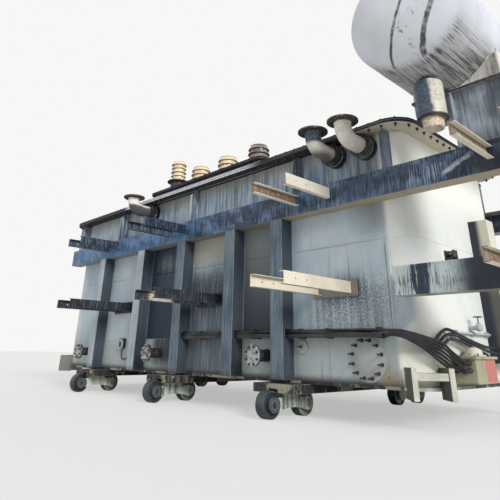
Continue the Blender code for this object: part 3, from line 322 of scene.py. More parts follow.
def tankFinish():
    # Pale paint with a look of its own in each bay, oil above the belt and soot round the lower arms; painted
    # sunlight, painted shadows and painted shade about the near corner and end wall
    look = tankLook
    g = Graph("tankPaint")
    x, z = g.x, g.z
    cloud = g.noise(0.9, 5.0)
    blotch = g.noise(3.4, 5.0, 0.6)
    fine = g.noise(34.0, 6.0, 0.72)
    streak = g.noise(1.0, 6.0, 0.66, g.stretched(15.0, 0.75))
    thin = g.noise(1.0, 4.0, 0.6, g.stretched(52.0, 1.6))
    wavy = (streak - 0.5) * 0.9
    low = g.ramp(z, look["trayFoot"], look["trayFoot"] - 0.03)
    upper = g.ramp(z, beltHigh - 0.02, beltHigh + 0.03)
    # the long wall's grey reaches round the corner between these heights: a painted shadow of the lower beam
    # on the end wall
    edge = x - g.band(z, 1.15, 1.62, 0.16) * 0.24
    corner = g.ramp(edge, look["corner"], look["corner"] + 0.10)
    farEnd = g.ramp(x, -4.55, -4.2, (1.0, 0.0))
    g.paint = g.mix(g.ramp(cloud + blotch * 0.5, 0.55, 0.95), look["pale"], look["blue"])
    g.lay(low * 0.8, look["footGrey"])
    # cream over the near corner and end wall is painted sunlight; towards the far end the cream is paler
    # paint
    g.lay((corner + farEnd * 0.45).lowest(1.0) * 0.94, look["cream"])
    patches = g.ramp(cloud + blotch * 0.6, 0.72, 0.95) * g.band(z, 1.0, 2.6, 0.2)
    g.lay(corner * patches * 0.5, look["cornerGrey"])

    # Darker bays: oil-black, sooty across its middle, and dull grey that deepens downwards; a painted shadow
    # by the drain stub
    between = (1 - upper) * (1 - low)
    dark = g.band(x, *look["darkBay"], 0.04) * between
    lighter = g.band(x, -1.15, -0.45, 0.30) * g.band(z, 2.25, 2.75, 0.30) * 0.35
    g.lay(dark * g.ramp(streak + fine * 0.3 - lighter, 0.20, 0.50, (0.72, 0.97)), look["oil"])
    # painted shadow, black, round and beside the drain stub below the tray in the dark bay
    stubShadow = g.band(x, -1.05, look["darkBay"][1], 0.12) * low * g.ramp(z + streak * 0.2, 0.50, 0.85)
    g.lay(stubShadow * g.ramp(streak + fine * 0.3, 0.35, 0.65, (0.45, 0.9)), look["stubShadowBlack"])
    dull = g.band(x, *look["dullBay"], 0.03) * between
    g.lay(dull * 0.95, g.mix(g.ramp(z, 1.3, 2.7), *look["dull"]))
    sootBay = g.band(x, *look["sootBay"], 0.04) * (1 - upper)
    g.lay(sootBay * g.ramp(z, 2.2, 2.5) * 0.7, look["olive"])
    settled = g.ramp(z + wavy, 2.3, 1.9) * g.ramp(streak + thin * 0.5, 0.55, 0.85, (0.60, 0.92))
    g.lay(sootBay * settled, look["sootBlue"])
    sooty = sootBay * g.band(z + wavy, 1.45, 2.25, 0.25)

    # Soot round the lower arms, in specks that join into runs, and painted shade below them in the same dark
    # colour
    nearArms = g.band(x + wavy * 0.5, 3.05, 4.42, 0.35) * g.band(z + wavy, 1.15, 1.72, 0.25)
    grain = g.noise(1.0, 3.0, 0.6, g.stretched(66.0, 40.0))
    speck = g.ramp(grain + streak * 0.35, 0.60, 0.70)
    soot = sooty * g.ramp(grain + streak * 0.6, 0.62, 0.82) + nearArms * speck * 0.75
    # armShade and shadow are painted shade below the lower arms, broken up by the streaks, laid with the soot
    armShade = g.band(x + wavy * 0.3, 3.25, 4.15, 0.25) * g.band(z, 1.55, 1.88, 0.16)
    soot = (soot + armShade * g.ramp(streak + grain * 0.3, 0.45, 0.75) * 0.7).lowest(1.0)
    shadow = g.band(x + wavy * 0.4, 3.2, 4.45, 0.35) * g.band(z, 1.80, 2.15, 0.25)
    shadow = shadow * g.ramp(streak, 0.45, 0.7) * 0.45
    g.lay((soot + shadow).lowest(1.0) * 0.92, look["grime"])

    # Oil that has run down above the belt in fine streaks, olive under the flange; darker grey near the
    # corner below and above the belt, and painted sunlight on the corner's upper part
    oily = upper * (1 - corner)
    runs = g.ramp(streak * 0.7 + thin * 0.8 + cloud * 0.3, 0.78, 1.08)
    blueRuns = g.mix(g.ramp(thin, 0.42, 0.62), look["oil"], look["oilBlue"])
    g.lay(oily * runs * g.ramp(x, -4.4, -2.6, (0.35, 0.93)), blueRuns)
    under = g.ramp(z + (thin - 0.5) * 0.5, tankTop - 0.30, tankTop - 0.12)
    g.lay(oily * under * g.ramp(x, 2.8, 4.3, (0.55, 0.25)), look["olive"])
    # a darker grey on the wall just below the belt, short of the corner
    belowBelt = g.band(x, 4.05, 4.52, 0.30) * g.ramp(z + blotch * 0.3, 2.45, 2.75)
    g.lay(belowBelt * (1 - upper) * (1 - corner) * 0.75, look["belowBeltGrey"])
    # painted sunlight over the corner's upper part, rising from below the belt upwards
    paintedSunlight = g.ramp(z + (x - look["corner"]) * -0.4, beltLow - 0.3, beltHigh)
    g.lay(corner * paintedSunlight * 0.8, look["paintedSunlight"])
    # a darker grey above the belt, short of the corner
    g.lay(g.band(x, 4.02, 4.36, 0.10) * upper * 0.45, look["upperCornerGrey"])

    # Streaks all over, dirt at the foot, rust by the port, a painted green shadow under the cables and a
    # painted sunlit patch below it
    g.lay(g.ramp(streak, 0.57, 0.78) * (0.50 - corner * 0.42), look["grime"])
    g.lay(g.ramp(thin, 0.60, 0.76) * (0.40 - corner * 0.32), look["darkStreak"])
    g.lay(g.ramp(thin, 0.40, 0.22) * 0.30 * (1 - dull - dark), look["paleStreak"])
    foot = g.ramp(z + (fine - 0.5) * 0.10, tankFoot, tankFoot + 0.10, (1.0, 0.0))
    g.lay(foot * (0.85 - corner * 0.45), look["footDirt"])
    # painted shadow of the cables on the end wall, greenish
    g.lay(g.band(z, 0.84, 1.03, 0.05) * corner * g.ramp(g.y, -0.95, -1.10) * 0.6, look["paintedCableShadow"])
    # painted patch of sunlight on the end wall below the cables' shadow
    g.lay(corner * g.band(z, 0.60, 0.84, 0.04) * g.ramp(g.y, -0.9, -1.1) * 0.8, look["paintedSunPatch"])
    g.lay(g.band(x, 4.412, 4.426, 0.004) * g.band(z, 1.18, 2.25, 0.10) * 0.7, look["cornerLine"])
    tan = g.band(x + (z - 0.5) * 0.4, 4.18, 4.50, 0.07) * g.band(z, 0.46, 0.74, 0.09)
    g.lay(tan * g.ramp(blotch + fine * 0.4, 0.50, 0.85, (0.30, 0.85)), look["tan"])
    g.lay(tan * g.ramp(fine + blotch * 0.3, 0.66, 0.80) * 0.6, look["brown"])
    g.lay(g.ramp(g.noise(7.0, 8.0, 0.74), 0.675, 0.72) * 0.6, look["rust"])
    rough = g.ramp(cloud + fine * 0.4, 0.3, 1.0, (0.42, 0.72)) - (oily * runs + dark) * 0.14
    return g.finish(rough, fine * 0.35 + thin * 0.25 + g.noise(3.0, 3.0) * 1.6, 0.004, 0.5)


# The edge of cover and flange is pale along a stretch of the tank, which fades over these places
edgeLook = {"pale": ((0.62, 0.62, 0.66), (0.34, 0.35, 0.39)), "ends": (2.3, 1.7), "start": (-2.45, -2.20)}


def edgeStretch(g):
    # one along the pale stretch, nothing past its ends
    return g.ramp(g.x, *edgeLook["ends"]) * g.ramp(g.x, *edgeLook["start"])


oilLook = {
    "black": (0.011, 0.022, 0.050),
    "blue": (0.055, 0.130, 0.260),
    "pale": (0.29, 0.40, 0.52),
    "under": (0.42, 0.36, 0.26),
    "lowBlack": (0.020, 0.026, 0.038),
    "lowPale": (0.50, 0.56, 0.56),
    "lowTip": (0.014, 0.018, 0.028),
    "rubbed": (0.42, 0.46, 0.50),
    "beltEnd": (0.016, 0.018, 0.026),
    "flangeUnder": (0.030, 0.032, 0.038),
    "flangeReflectedTan": (0.62, 0.58, 0.45),
    "flangeEdge": (0.020, 0.022, 0.028),
    "nutStrip": (0.52, 0.54, 0.56),
    "fins": ((0.10, 0.13, 0.17), (0.40, 0.46, 0.50)),
    "arm": ((0.80, 0.76, 0.65), (0.70, 0.64, 0.52)),
    "armRust": (0.17, 0.10, 0.06),
    "armGrey": (0.20, 0.22, 0.24),
    "web": (0.17, 0.105, 0.065),
    "rust": (0.20, 0.11, 0.06),
    "pairs": ((-2.70, 0.30), (-0.16, 0.30), (3.375, 0.345), (6.37, 0.30)),  # the arms' middles and spreads
    "webEdge": 0.002,
    "webWidth": 0.068,
}


def oilFinish():
    # Beams soaked in oil: navy with pale runs, tan painted below as reflected light in their shade, and arms
    # beyond their face in black or cream
    look = oilLook
    g = Graph("oiledPaint")
    x, y, z = g.x, g.y, g.z
    streak = g.noise(1.0, 6.0, 0.68, g.stretched(19.0, 1.4))
    thin = g.noise(1.0, 5.0, 0.66, g.stretched(60.0, 3.2))
    cloud = g.noise(1.1, 5.0)
    patch = g.noise(1.0, 5.0, 0.6, g.stretched(2.6, 4.5))
    broad = g.noise(1.0, 4.0, 0.6, g.stretched(1.3, 3.0))
    fine = g.noise(40.0, 5.0, 0.7)
    belt = g.ramp(z, 2.2, 2.6)  # one on the belts, nothing on the lower beams
    shade = g.ramp(x, -3.5, 4.8, (0.10, -0.10)) * belt
    g.paint = g.mix(g.ramp(streak * 0.6 + patch * 0.5 + shade, 0.46, 0.66), look["black"], look["blue"])
    g.lay((1 - belt) * 0.85, look["lowBlack"])
    paler = g.ramp(x, -4.6, -2.2, (0.95, 0.60)) * g.ramp(x, 0.5, 3.5, (1.0, 0.85)) * belt
    lift = g.ramp(x, 1.5, 3.5) * g.ramp(x, 5.7, 5.2) * 0.07
    runs = g.ramp(thin + patch * 0.45 + lift, 0.70, 0.90) * paler
    g.lay(runs * g.ramp(broad, 0.38, 0.56, (0.35, 1.0)), look["pale"])
    lowPale = (1 - belt) * g.ramp(x + (thin - 0.5) * 0.6, 5.70, 5.35) * 0.95
    lowDark = g.band(x + (streak - 0.5) * 0.5, 4.97, 5.09, 0.07) * 0.5
    g.lay(g.ramp(thin * 0.9 + patch * 0.35 - lowDark, 0.50, 0.66) * lowPale, look["lowPale"])
    g.lay((1 - belt) * g.ramp(x, 5.5, 5.7) * 0.8, look["lowTip"])

    # A scrape that climbs towards the near end, with a faint rub before it
    tilted = g.node("VectorRotate", {"Vector": g.place, "Angle": 0.40}, rotation_type="Y_AXIS")
    slant = g.noise(1.0, 4.0, 0.6, tilted, 0.8)
    climb = z - (x - 5.48) * 0.42 + (patch - 0.5) * 0.16
    stroke = g.band(x, 5.50, 5.90, 0.05) * g.band(climb, 2.90, 2.97, 0.015)
    faint = g.band(x, 5.02, 5.46, 0.10) * g.band(z, 2.93, 3.10, 0.04) * g.ramp(thin, 0.50, 0.62) * 0.55
    rubbed = (stroke * g.ramp(slant + (fine - 0.5) * 0.5, 0.46, 0.53) + faint).lowest(1.0) * belt
    g.lay(rubbed * 0.8, look["rubbed"])
    g.lay(g.ramp(x, 5.75, 6.0) * belt * 0.8, look["beltEnd"])
    down = g.downward()
    narrow = (g.ramp(x, 1.2, 3.0, (0.35, 1.0)) * belt).highest(0.55)
    # down-facing faces painted tan, more on the belts towards the near end: painted reflected light in the
    # shade beneath
    g.lay(down * g.ramp(cloud, 0.25, 0.5, (0.6, 1.0)) * narrow, look["under"])

    # The flange and fins above the belt: black edge and nuts' strip; beside the near end the flange's
    # underside is painted tan as reflected light
    flange = g.ramp(z, tankTop - 0.040, tankTop - 0.036)
    nearEnd = g.ramp(x, 3.9, 4.35)
    g.lay(flange * down * (1 - nearEnd), look["flangeUnder"])
    # painted reflected light: the flange's underside tan near the sunlit end
    g.lay(flange * down * nearEnd * 0.9, look["flangeReflectedTan"])
    edgeGrey = g.mix(g.ramp(streak, 0.46, 0.72), *edgeLook["pale"])
    g.lay(flange * (1 - down) * 0.95, g.mix(edgeStretch(g), look["flangeEdge"], edgeGrey))
    strip = g.band(abs(y), wallOut + 0.080, wallOut + 0.100, 0.003) * g.ramp(x, 2.6, 1.8)
    g.lay(flange * down * strip * g.ramp(x, *edgeLook["start"]) * 0.8, look["nutStrip"])
    fin = g.ramp(z, beltHigh, beltHigh + 0.01) * (1 - flange)
    g.lay(fin * g.ramp(x, 4.45, 4.35, (0.35, 0.9)), g.mix(g.ramp(streak, 0.40, 0.62), *look["fins"]))

    # The arms on the belt, cream at the near end and black at the far one; their webs brown with rust and
    # painted shade
    outer = g.ramp(abs(y), beltOut + 0.004, beltOut + 0.012) * g.ramp(z, beltHigh + 0.002, beltHigh)
    near = g.ramp(x, 1.0, 2.6)
    reach = look["webEdge"] + look["webWidth"]
    starts = [start for middle, spread in look["pairs"]
              for start in (middle - spread + look["webEdge"], middle + spread - reach)]
    web = sum(g.band(x, start, start + look["webWidth"], 0.004) for start in starts)
    web = web.lowest(1.0) * g.facing("Z", 0.4, 0.2)
    cream = g.mix(g.ramp(cloud + fine * 0.3, 0.5, 0.8), *look["arm"])
    # webs brown: rust, and painted shade inside the channel
    cream = g.mix(web * g.ramp(streak + fine * 0.4, 0.45, 0.80, (0.70, 0.97)), cream, look["web"])
    cream = g.mix(g.ramp(fine + streak * 0.5, 0.88, 0.98), cream, look["armRust"])
    black = g.mix(g.ramp(thin + cloud * 0.3, 0.6, 0.85), look["black"], look["armGrey"])
    g.lay(outer, g.mix(near, black, cream))
    g.lay(g.ramp(g.noise(6.0, 8.0, 0.74), 0.66, 0.71) * 0.6, look["rust"])
    rough = g.ramp(cloud + fine * 0.3, 0.3, 0.9, (0.34, 0.58)) + (outer * near + down) * 0.18
    return g.finish(rough, fine * 0.5 + thin * 0.4, 0.003, 0.55)


ribLook = {
    "front": ((0.17, 0.22, 0.26), (0.055, 0.090, 0.135)),
    "oil": (0.030, 0.045, 0.070),
    "wash": (0.44, 0.51, 0.55),
    "farFront": (0.46, 0.54, 0.58),
    "side": (0.040, 0.052, 0.070),
    "endRootShade": (0.026, 0.030, 0.042),
    "endOuter": ((0.10, 0.10, 0.09), (0.62, 0.58, 0.47)),
    "endFrontSunlit": (0.70, 0.67, 0.56),
    "foot": (0.06, 0.05, 0.045),
    "rust": (0.26, 0.14, 0.07),
}


def ribFinish():
    # Blue-grey ribs streaked from top to foot, with painted shade on the sides that face along the tank and
    # painted sunlight on the end ribs' faces towards the near end
    look = ribLook
    g = Graph("ribPaint")
    cloud = g.noise(1.3, 5.0)
    fine = g.noise(28.0, 6.0, 0.7)
    streak = g.noise(1.0, 6.0, 0.66, g.stretched(24.0, 1.1))
    thin = g.noise(1.0, 4.0, 0.6, g.stretched(60.0, 2.0))
    g.paint = g.mix(g.ramp(streak * 0.7 + cloud * 0.5, 0.45, 0.80), *look["front"])
    g.lay(g.ramp(thin, 0.55, 0.68) * 0.8, look["oil"])
    g.lay(g.ramp(thin, 0.42, 0.25) * 0.6, look["wash"])
    far = g.ramp(g.x, -1.1, -1.25) * g.facing("Y", 0.4, 0.7)
    g.lay(far * g.ramp(streak, 0.66, 0.46, (0.4, 0.85)), look["farFront"])
    # painted shade, streaked, on the sides of the long wall's ribs
    side = g.facing("X", 0.4, 0.7) * g.ramp(g.x, 4.6, 4.5)
    g.lay(side * g.ramp(streak + fine * 0.3, 0.40, 0.80, (0.80, 0.95)), look["side"])
    # end ribs: faces turned towards +X painted cream as sunlight, sides painted in shade, darkest at the root
    # by the wall and darker lower down
    outward = g.ramp(abs(g.x) + (fine - 0.5) * 0.04, lengthHalf + 0.10, lengthHalf + 0.20)
    endSideShading = g.mix(outward, look["endRootShade"], g.mix(g.ramp(g.z, 1.6, 2.6), *look["endOuter"]))
    endRib = g.mix(g.ramp(g.normal("X"), 0.4, 0.7), endSideShading, look["endFrontSunlit"])
    g.lay(g.ramp(abs(g.x), 4.70, 4.75) * 0.95, endRib)
    g.lay(g.ramp(g.z, tankFoot, tankFoot + 0.10, (1.0, 0.0)) * 0.6, look["foot"])
    g.lay(g.ramp(g.noise(6.5, 8.0, 0.74), 0.68, 0.72) * 0.5, look["rust"])
    rough = g.ramp(cloud + fine * 0.4, 0.3, 1.0, (0.42, 0.70))
    return g.finish(rough, fine * 0.4 + thin * 0.3, 0.004, 0.5)


lowerArmLook = {
    "cream": ((0.72, 0.66, 0.54), (0.62, 0.56, 0.45)),
    "sooty": ((0.016, 0.020, 0.028), (0.24, 0.27, 0.30)),
    "bareTip": ((0.70, 0.64, 0.54), (0.38, 0.35, 0.30)),
    "pad": ((0.040, 0.038, 0.038), (0.15, 0.15, 0.14)),
    "rust": (0.16, 0.085, 0.045),
    "under": (0.12, 0.09, 0.07),
}


def lowerArmFinish():
    # Cream arms at the near pair, black with soot at the far ones, bare rust in the webs, painted shade
    # underneath
    look = lowerArmLook
    g = Graph("lowerArmPaint")
    fine = g.noise(36.0, 6.0, 0.72)
    cloud = g.noise(2.2, 5.0)
    thin = g.noise(1.0, 4.0, 0.62, g.stretched(60.0, 3.0))
    near = g.ramp(g.x, 2.2, 2.8)
    clean = g.mix(g.ramp(cloud, 0.4, 0.65), *look["cream"])
    sooty = g.mix(g.ramp(thin + cloud * 0.3, 0.66, 0.95), *look["sooty"])
    tip = g.band(g.x, 0.15, 0.62, 0.05) * g.band(abs(g.y), 2.25, 2.72, 0.05)
    sooty = g.mix(tip * 0.9, sooty, g.mix(g.ramp(fine, 0.4, 0.6), *look["bareTip"]))
    g.paint = g.mix(near, sooty, clean)
    pad = g.ramp(abs(g.y), wallOut + 0.05, wallOut + 0.02)
    g.lay(pad * near, g.mix(g.ramp(thin, 0.45, 0.65), *look["pad"]))
    g.lay(g.ramp(fine + cloud * 0.5, 0.90, 1.0), look["rust"])
    # painted shade, brown, on the down-facing faces
    g.lay(g.downward() * 0.5, look["under"])
    return g.finish(g.ramp(cloud, 0.3, 0.7, (0.45, 0.7)), fine, 0.003, 0.5)


coverLook = {"clean": (0.040, 0.042, 0.050), "faded": (0.085, 0.088, 0.095), "grime": (0.015, 0.016, 0.020),
             "amount": 0.35, "rust": 0.10, "line": (0.36, 0.37, 0.37), "chestDepth": 0.455}


def coverFinish():
    # Black rims and plate; the chest's sides and a stretch of the plate's edge are pale
    look = coverLook
    g, rough, height = weathered("coverPaint", look)
    high = highOf("cover")[2]
    upright = g.facing("Z", 0.6, 0.4)
    streak = g.noise(1.0, 5.0, 0.62, g.stretched(17.0, 0.9))
    grey = g.mix(g.ramp(streak, 0.46, 0.72), *edgeLook["pale"])
    chestSide = g.band(g.z, high - look["chestDepth"], high - chest["rimThick"] - 0.003, 0.002)
    chestSide = chestSide * g.ramp(g.z, tankTop + 0.045, tankTop + 0.048)
    plateEdge = g.ramp(g.z, tankTop + 0.044, tankTop + 0.041) * edgeStretch(g)
    g.lay((chestSide + plateEdge) * upright * 0.95, grey)
    line = g.ramp(g.z, tankTop + 0.012, tankTop + 0.009) * g.ramp(g.x, 2.4, 2.8)
    g.lay(line * upright * 0.7, look["line"])
    return g.finish(rough, height, 0.004, 0.5)


drumLook = {"pale": ((0.68, 0.70, 0.75), (0.56, 0.58, 0.62)), "oil": (0.035, 0.037, 0.042),
            "under": (0.36, 0.35, 0.32), "smear": (0.14, 0.14, 0.14),
            "drips": ((0.176, 0.020), (0.580, 0.030)), "lean": 0.52}  # each drip's place and half width


def drumFinish():
    # Clean pale ends with two dark drips down each; thin oil lines along the underside
    look = drumLook
    g = Graph("drumPaint")
    foot, middleX = lowOf("conservator_drum")[2], centreOf("conservator_drum")[0]
    depth = g.ramp(g.z, foot + 0.62, foot + 0.20)
    alongY = g.noise(1.0, 6.0, 0.7, g.stretched(15.0, 15.0, 1.0))
    thinY = g.noise(1.0, 5.0, 0.66, g.stretched(48.0, 48.0, 1.5), 0.5)
    fine = g.noise(34.0, 6.0, 0.7)
    cloud = g.noise(0.9, 5.0)
    underside = depth * g.ramp(abs(g.y), 2.75, 2.50)
    g.paint = g.mix(g.ramp(cloud, 0.36, 0.66), *look["pale"])
    g.lay(underside * 0.55, look["under"])
    g.lay(g.ramp(thinY + alongY * 0.4, 0.66, 0.80) * underside * 0.85, look["oil"])
    g.lay(g.ramp(alongY, 0.52, 0.68) * underside * 0.40, look["smear"])
    dish = g.ramp(abs(g.y), 2.62, 2.68)
    across = (g.x + tankMiddle - middleX) - (g.z - (foot + drum["radius"])) * look["lean"]
    wander = (g.noise(9.0, 5.0, 0.6) - 0.5) * 0.035
    gaps = g.ramp(g.noise(12.0, 5.0, 0.66), 0.36, 0.56, (0.55, 0.95))
    for place, half in look["drips"]:
        g.lay(g.band(across + wander, place - half, place + half, 0.010) * dish * gaps, look["oil"])
    specks = g.ramp(g.noise(1.0, 5.0, 0.66, g.stretched(22.0, 5.0)), 0.60, 0.66)
    g.lay(g.band(across, 0.22, 0.54, 0.03) * dish * specks * 0.7, look["oil"])
    ringed = g.band(abs(g.y), 2.50, 2.62, 0.03) * g.ramp(g.z, foot + 0.50, foot + 0.25)
    g.lay(ringed * g.ramp(thinY, 0.45, 0.60) * 0.7, look["oil"])
    rough = g.ramp(cloud + fine * 0.3, 0.3, 0.9, (0.38, 0.62))
    return g.finish(rough, fine * 0.5 + thinY * 0.4, 0.003, 0.5)


standLook = {"clean": (0.80, 0.78, 0.71), "faded": (0.66, 0.65, 0.60), "grime": (0.09, 0.09, 0.09),
             "amount": 0.14, "rust": 0.10, "web": ((0.40, 0.45, 0.52), (0.12, 0.15, 0.19)),
             "webFoot": (0.050, 0.055, 0.070), "line": (0.015, 0.015, 0.018), "joint": 4.05}


def standFinish():
    # Light grey saddle above the joint; streaked blue-grey web below it, darker towards its foot
    look = standLook
    g, rough, height = weathered("standPaint", look)
    joint = look["joint"]
    streak = g.noise(1.0, 5.0, 0.66, g.stretched(20.0, 1.6))
    cloud = g.noise(2.0, 5.0)
    web = g.mix(g.ramp(streak * 0.6 + cloud * 0.6, 0.50, 0.74), *look["web"])
    web = g.mix(g.ramp(g.z + cloud * 0.5, 3.75, 3.35), web, look["webFoot"])
    g.lay(g.ramp(g.z, joint - 0.01, joint - 0.03) * 0.95, web)
    g.lay(g.band(g.z, joint - 0.02, joint + 0.012, 0.006) * 0.95, look["line"])
    return g.finish(rough, height, 0.004, 0.5)


elbowLook = {
    "cream": ((0.82, 0.79, 0.72), (0.62, 0.59, 0.53)),
    "speck": (0.12, 0.10, 0.08),
    "navy": ((0.030, 0.045, 0.080), (0.13, 0.17, 0.23)),
    "brown": (0.10, 0.085, 0.075),
    "farOil": (0.030, 0.034, 0.045),
    "valve": ((0.012, 0.014, 0.018), (0.07, 0.07, 0.075)),
    "ring": (0.62, 0.63, 0.62),
    "mouth": ((0.026, 0.023, 0.024), (0.115, 0.080, 0.060)),
    "mouthRim": (0.68, 0.63, 0.54),
}


def elbowFinish():
    # The nearest pipe cream, the next blue-black with a cream bend; black valves, dark rusted mouth flanges
    look = elbowLook
    g = Graph("elbowPaint")
    x, z = g.x, g.z
    fine = g.noise(30.0, 6.0, 0.7)
    cloud = g.noise(3.0, 5.0)
    g.paint = g.mix(g.ramp(cloud, 0.38, 0.66), *look["cream"])
    g.lay(g.ramp(fine + cloud * 0.5, 0.86, 0.98) * 0.8, look["speck"])
    second = g.band(x, 3.45, 4.0, 0.02)
    g.lay(second * g.ramp(z, 3.74, 3.80), g.mix(g.ramp(fine, 0.42, 0.62), *look["navy"]))
    g.lay(second * g.ramp(z + (cloud - 0.5) * 0.25, 3.70, 3.60) * 0.9, look["brown"])
    farPipe = g.ramp(x, -0.4, -0.6) * g.ramp(z + (cloud - 0.5) * 0.12, 3.80, 3.74)
    g.lay(farPipe * 0.93, look["farOil"])
    valve = g.ramp(abs(g.y), wallOut + 0.235, wallOut + 0.205)
    g.lay(valve * 0.96, g.mix(g.ramp(fine, 0.45, 0.7), *look["valve"]))
    ring = g.band(abs(g.y), wallOut + 0.150, wallOut + 0.166, 0.002) * g.ramp(x, 3.95, 4.0)
    g.lay(ring * 0.9, look["ring"])
    mouth = g.mix(g.ramp(fine + cloud * 0.3, 0.50, 0.80), *look["mouth"])
    chipped = g.ramp(g.noise(14.0, 4.0), 0.58, 0.64) * g.facing("Z", 0.7, 0.4)
    g.lay(g.ramp(z, 3.925, 3.940), g.mix(chipped * 0.8, mouth, look["mouthRim"]))
    rough = g.ramp(cloud + fine * 0.4, 0.4, 0.9, (0.35, 0.62)) - valve * 0.12
    return g.finish(rough, fine, 0.003, 0.5)


porcelainLook = {"cream": ((0.84, 0.72, 0.50), (0.70, 0.56, 0.36)), "under": (0.13, 0.085, 0.055),
                 "speck": (0.12, 0.10, 0.085), "grey": ((0.26, 0.22, 0.20), (0.022, 0.022, 0.028)),
                 "greySpeck": (0.10, 0.09, 0.09)}


def porcelainFinish():
    # Glazed cream sheds with painted shade, brown, under each lip; the last stump is dark grey-brown, painted
    # near black underneath
    look = porcelainLook
    g = Graph("porcelain")
    fine = g.noise(28.0, 5.0, 0.7)
    cloud = g.noise(4.0, 4.0)
    # under marks the down-facing faces, which get painted shade
    under = g.ramp(g.normal("Z"), 0.05, -0.35)
    g.paint = g.mix(g.ramp(cloud, 0.35, 0.65), *look["cream"])
    g.lay(under * 0.72, look["under"])
    g.lay(g.ramp(fine + cloud * 0.4, 0.84, 0.96) * 0.7, look["speck"])
    grey = g.mix(g.ramp(cloud + fine * 0.3, 0.55, 0.80), g.mix(under, *look["grey"]), look["greySpeck"])
    g.lay(g.ramp(g.x, 0.4, 0.7) * 0.92, grey)
    return g.finish(g.ramp(fine, 0.4, 0.7, (0.16, 0.42)), fine, 0.002, 0.4, coat=0.5)


turretLook = {"clean": (0.11, 0.11, 0.115), "faded": (0.20, 0.19, 0.18), "grime": (0.03, 0.03, 0.03),
              "amount": 0.35, "rust": 0.3}


def turretFinish():
    # Dark grey paint, clouded, streaked and rusty
    g, rough, height = weathered("turretPaint", turretLook)
    return g.finish(rough, height, 0.003, 0.5)


breatherLook = {"beige": ((0.60, 0.57, 0.48), (0.24, 0.22, 0.19)),
                "navy": ((0.024, 0.040, 0.080), (0.075, 0.10, 0.15)),
                "farEdge": (0.06, 0.06, 0.06), "cup": ((0.74, 0.66, 0.52), (0.26, 0.15, 0.08)),
                "rim": (0.022, 0.024, 0.030), "turn": (0.69, 0.72)}  # which way the split between them faces


def breatherFinish():
    # Painted shade in navy on the half away from the tank's end, painted sunlight in beige on the other,
    # darker at the beige half's far edge; pale rusty cup below
    look = breatherLook
    g = Graph("breatherPaint")
    low, middle = lowOf("breather")[2] + breather["lift"], centreOf("breather")
    fine = g.noise(30.0, 6.0, 0.72)
    cloud = g.noise(7.0, 5.0, 0.6)
    across = (g.x + tankMiddle - middle[0]) * look["turn"][0] + (g.y - middle[1]) * look["turn"][1]
    g.paint = g.mix(g.ramp(cloud * 0.5 + fine * 0.8, 0.60, 0.90), *look["beige"])
    navy = g.mix(g.ramp(fine, 0.40, 0.62), *look["navy"])
    # painted shade: navy over the half that faces away from the tank's end
    g.lay(g.ramp(across + (cloud - 0.5) * 0.10, -0.03, -0.08) * 0.97, navy)
    # painted shade where the beige half turns away at its far edge
    g.lay(g.ramp(across, 0.135, 0.165) * 0.7, look["farEdge"])
    g.lay(g.ramp(g.z, low + 0.137, low + 0.133), g.mix(g.ramp(fine + cloud * 0.3, 0.55, 0.85), *look["cup"]))
    g.lay(g.band(g.z, low + 0.133, low + 0.165, 0.004) * 0.9, look["rim"])
    return g.finish(g.ramp(cloud, 0.3, 0.7, (0.35, 0.6)), fine + cloud, 0.003, 0.5)


rollerLook = {"iron": ((0.016, 0.024, 0.032), (0.050, 0.062, 0.070)), "rust": (0.12, 0.085, 0.055),
              "tread": (0.10, 0.11, 0.11), "inner": (0.40, 0.44, 0.38)}


def rollerFinish():
    # Navy-black cast wheel with a duller tread; the inner wheels' faces are as pale as the castings
    look = rollerLook
    g = Graph("rollerIron")
    fine = g.noise(30.0, 6.0, 0.72)
    cloud = g.noise(4.0, 5.0, 0.6)
    worn = cloud + fine * 0.3
    g.paint = g.mix(g.ramp(worn, 0.45, 0.85), *look["iron"])
    g.lay(g.ramp(fine, 0.62, 0.74) * 0.5, look["rust"])
    tread = g.facing("X", 0.6, 0.3)
    g.lay(tread * g.ramp(fine + cloud, 0.7, 1.1, (0.15, 0.45)), look["tread"])
    inner = g.ramp(abs(g.y), rollersApart, rollersApart - 0.02) * (1 - tread)
    g.lay(inner * g.ramp(worn, 0.80, 0.50, (0.4, 0.85)), look["inner"])
    return g.finish(g.ramp(worn, 0.4, 0.9, (0.38, 0.62)), fine, 0.003, 0.5, metallic=0.25)


cableLook = {"rubber": ((0.014, 0.015, 0.018), (0.06, 0.06, 0.062))}


def cableFinish():
    # Black rubber, greyer in clouds of dust
    g = Graph("blackCable")
    fine = g.noise(40.0, 4.0, 0.6)
    g.paint = g.mix(g.ramp(g.noise(3.0, 4.0) + fine * 0.3, 0.5, 0.9), *cableLook["rubber"])
    return g.finish(g.ramp(fine, 0.3, 0.7, (0.38, 0.6)), fine, 0.001, 0.4)


glandLook = {"clean": (0.38, 0.365, 0.25), "faded": (0.29, 0.285, 0.19), "grime": (0.05, 0.05, 0.04),
             "amount": 0.34, "rust": 0.14, "drips": 0.4,
             "redLead": (0.50, 0.13, 0.12), "dome": (0.74, 0.72, 0.60)}


def glandFinish():
    # Olive-cream box, its dome paler; the far part of its end face is red lead
    look = glandLook
    g, rough, height = weathered("glandPaint", look)
    farPart = g.ramp(g.y + g.noise(9.0) * 0.1, -0.50, -0.44)
    red = g.ramp(g.normal("X"), 0.7, 0.9) * farPart * g.ramp(g.z, 0.80, 0.79)
    g.lay(red * 0.8, look["redLead"])
    g.lay(g.ramp(g.z, gland["high"] + 0.032, gland["high"] + 0.036) * 0.7, look["dome"])
    return g.finish(rough, height, 0.003, 0.5)


boltLook = {"steel": ((0.040, 0.040, 0.044), (0.13, 0.09, 0.065))}


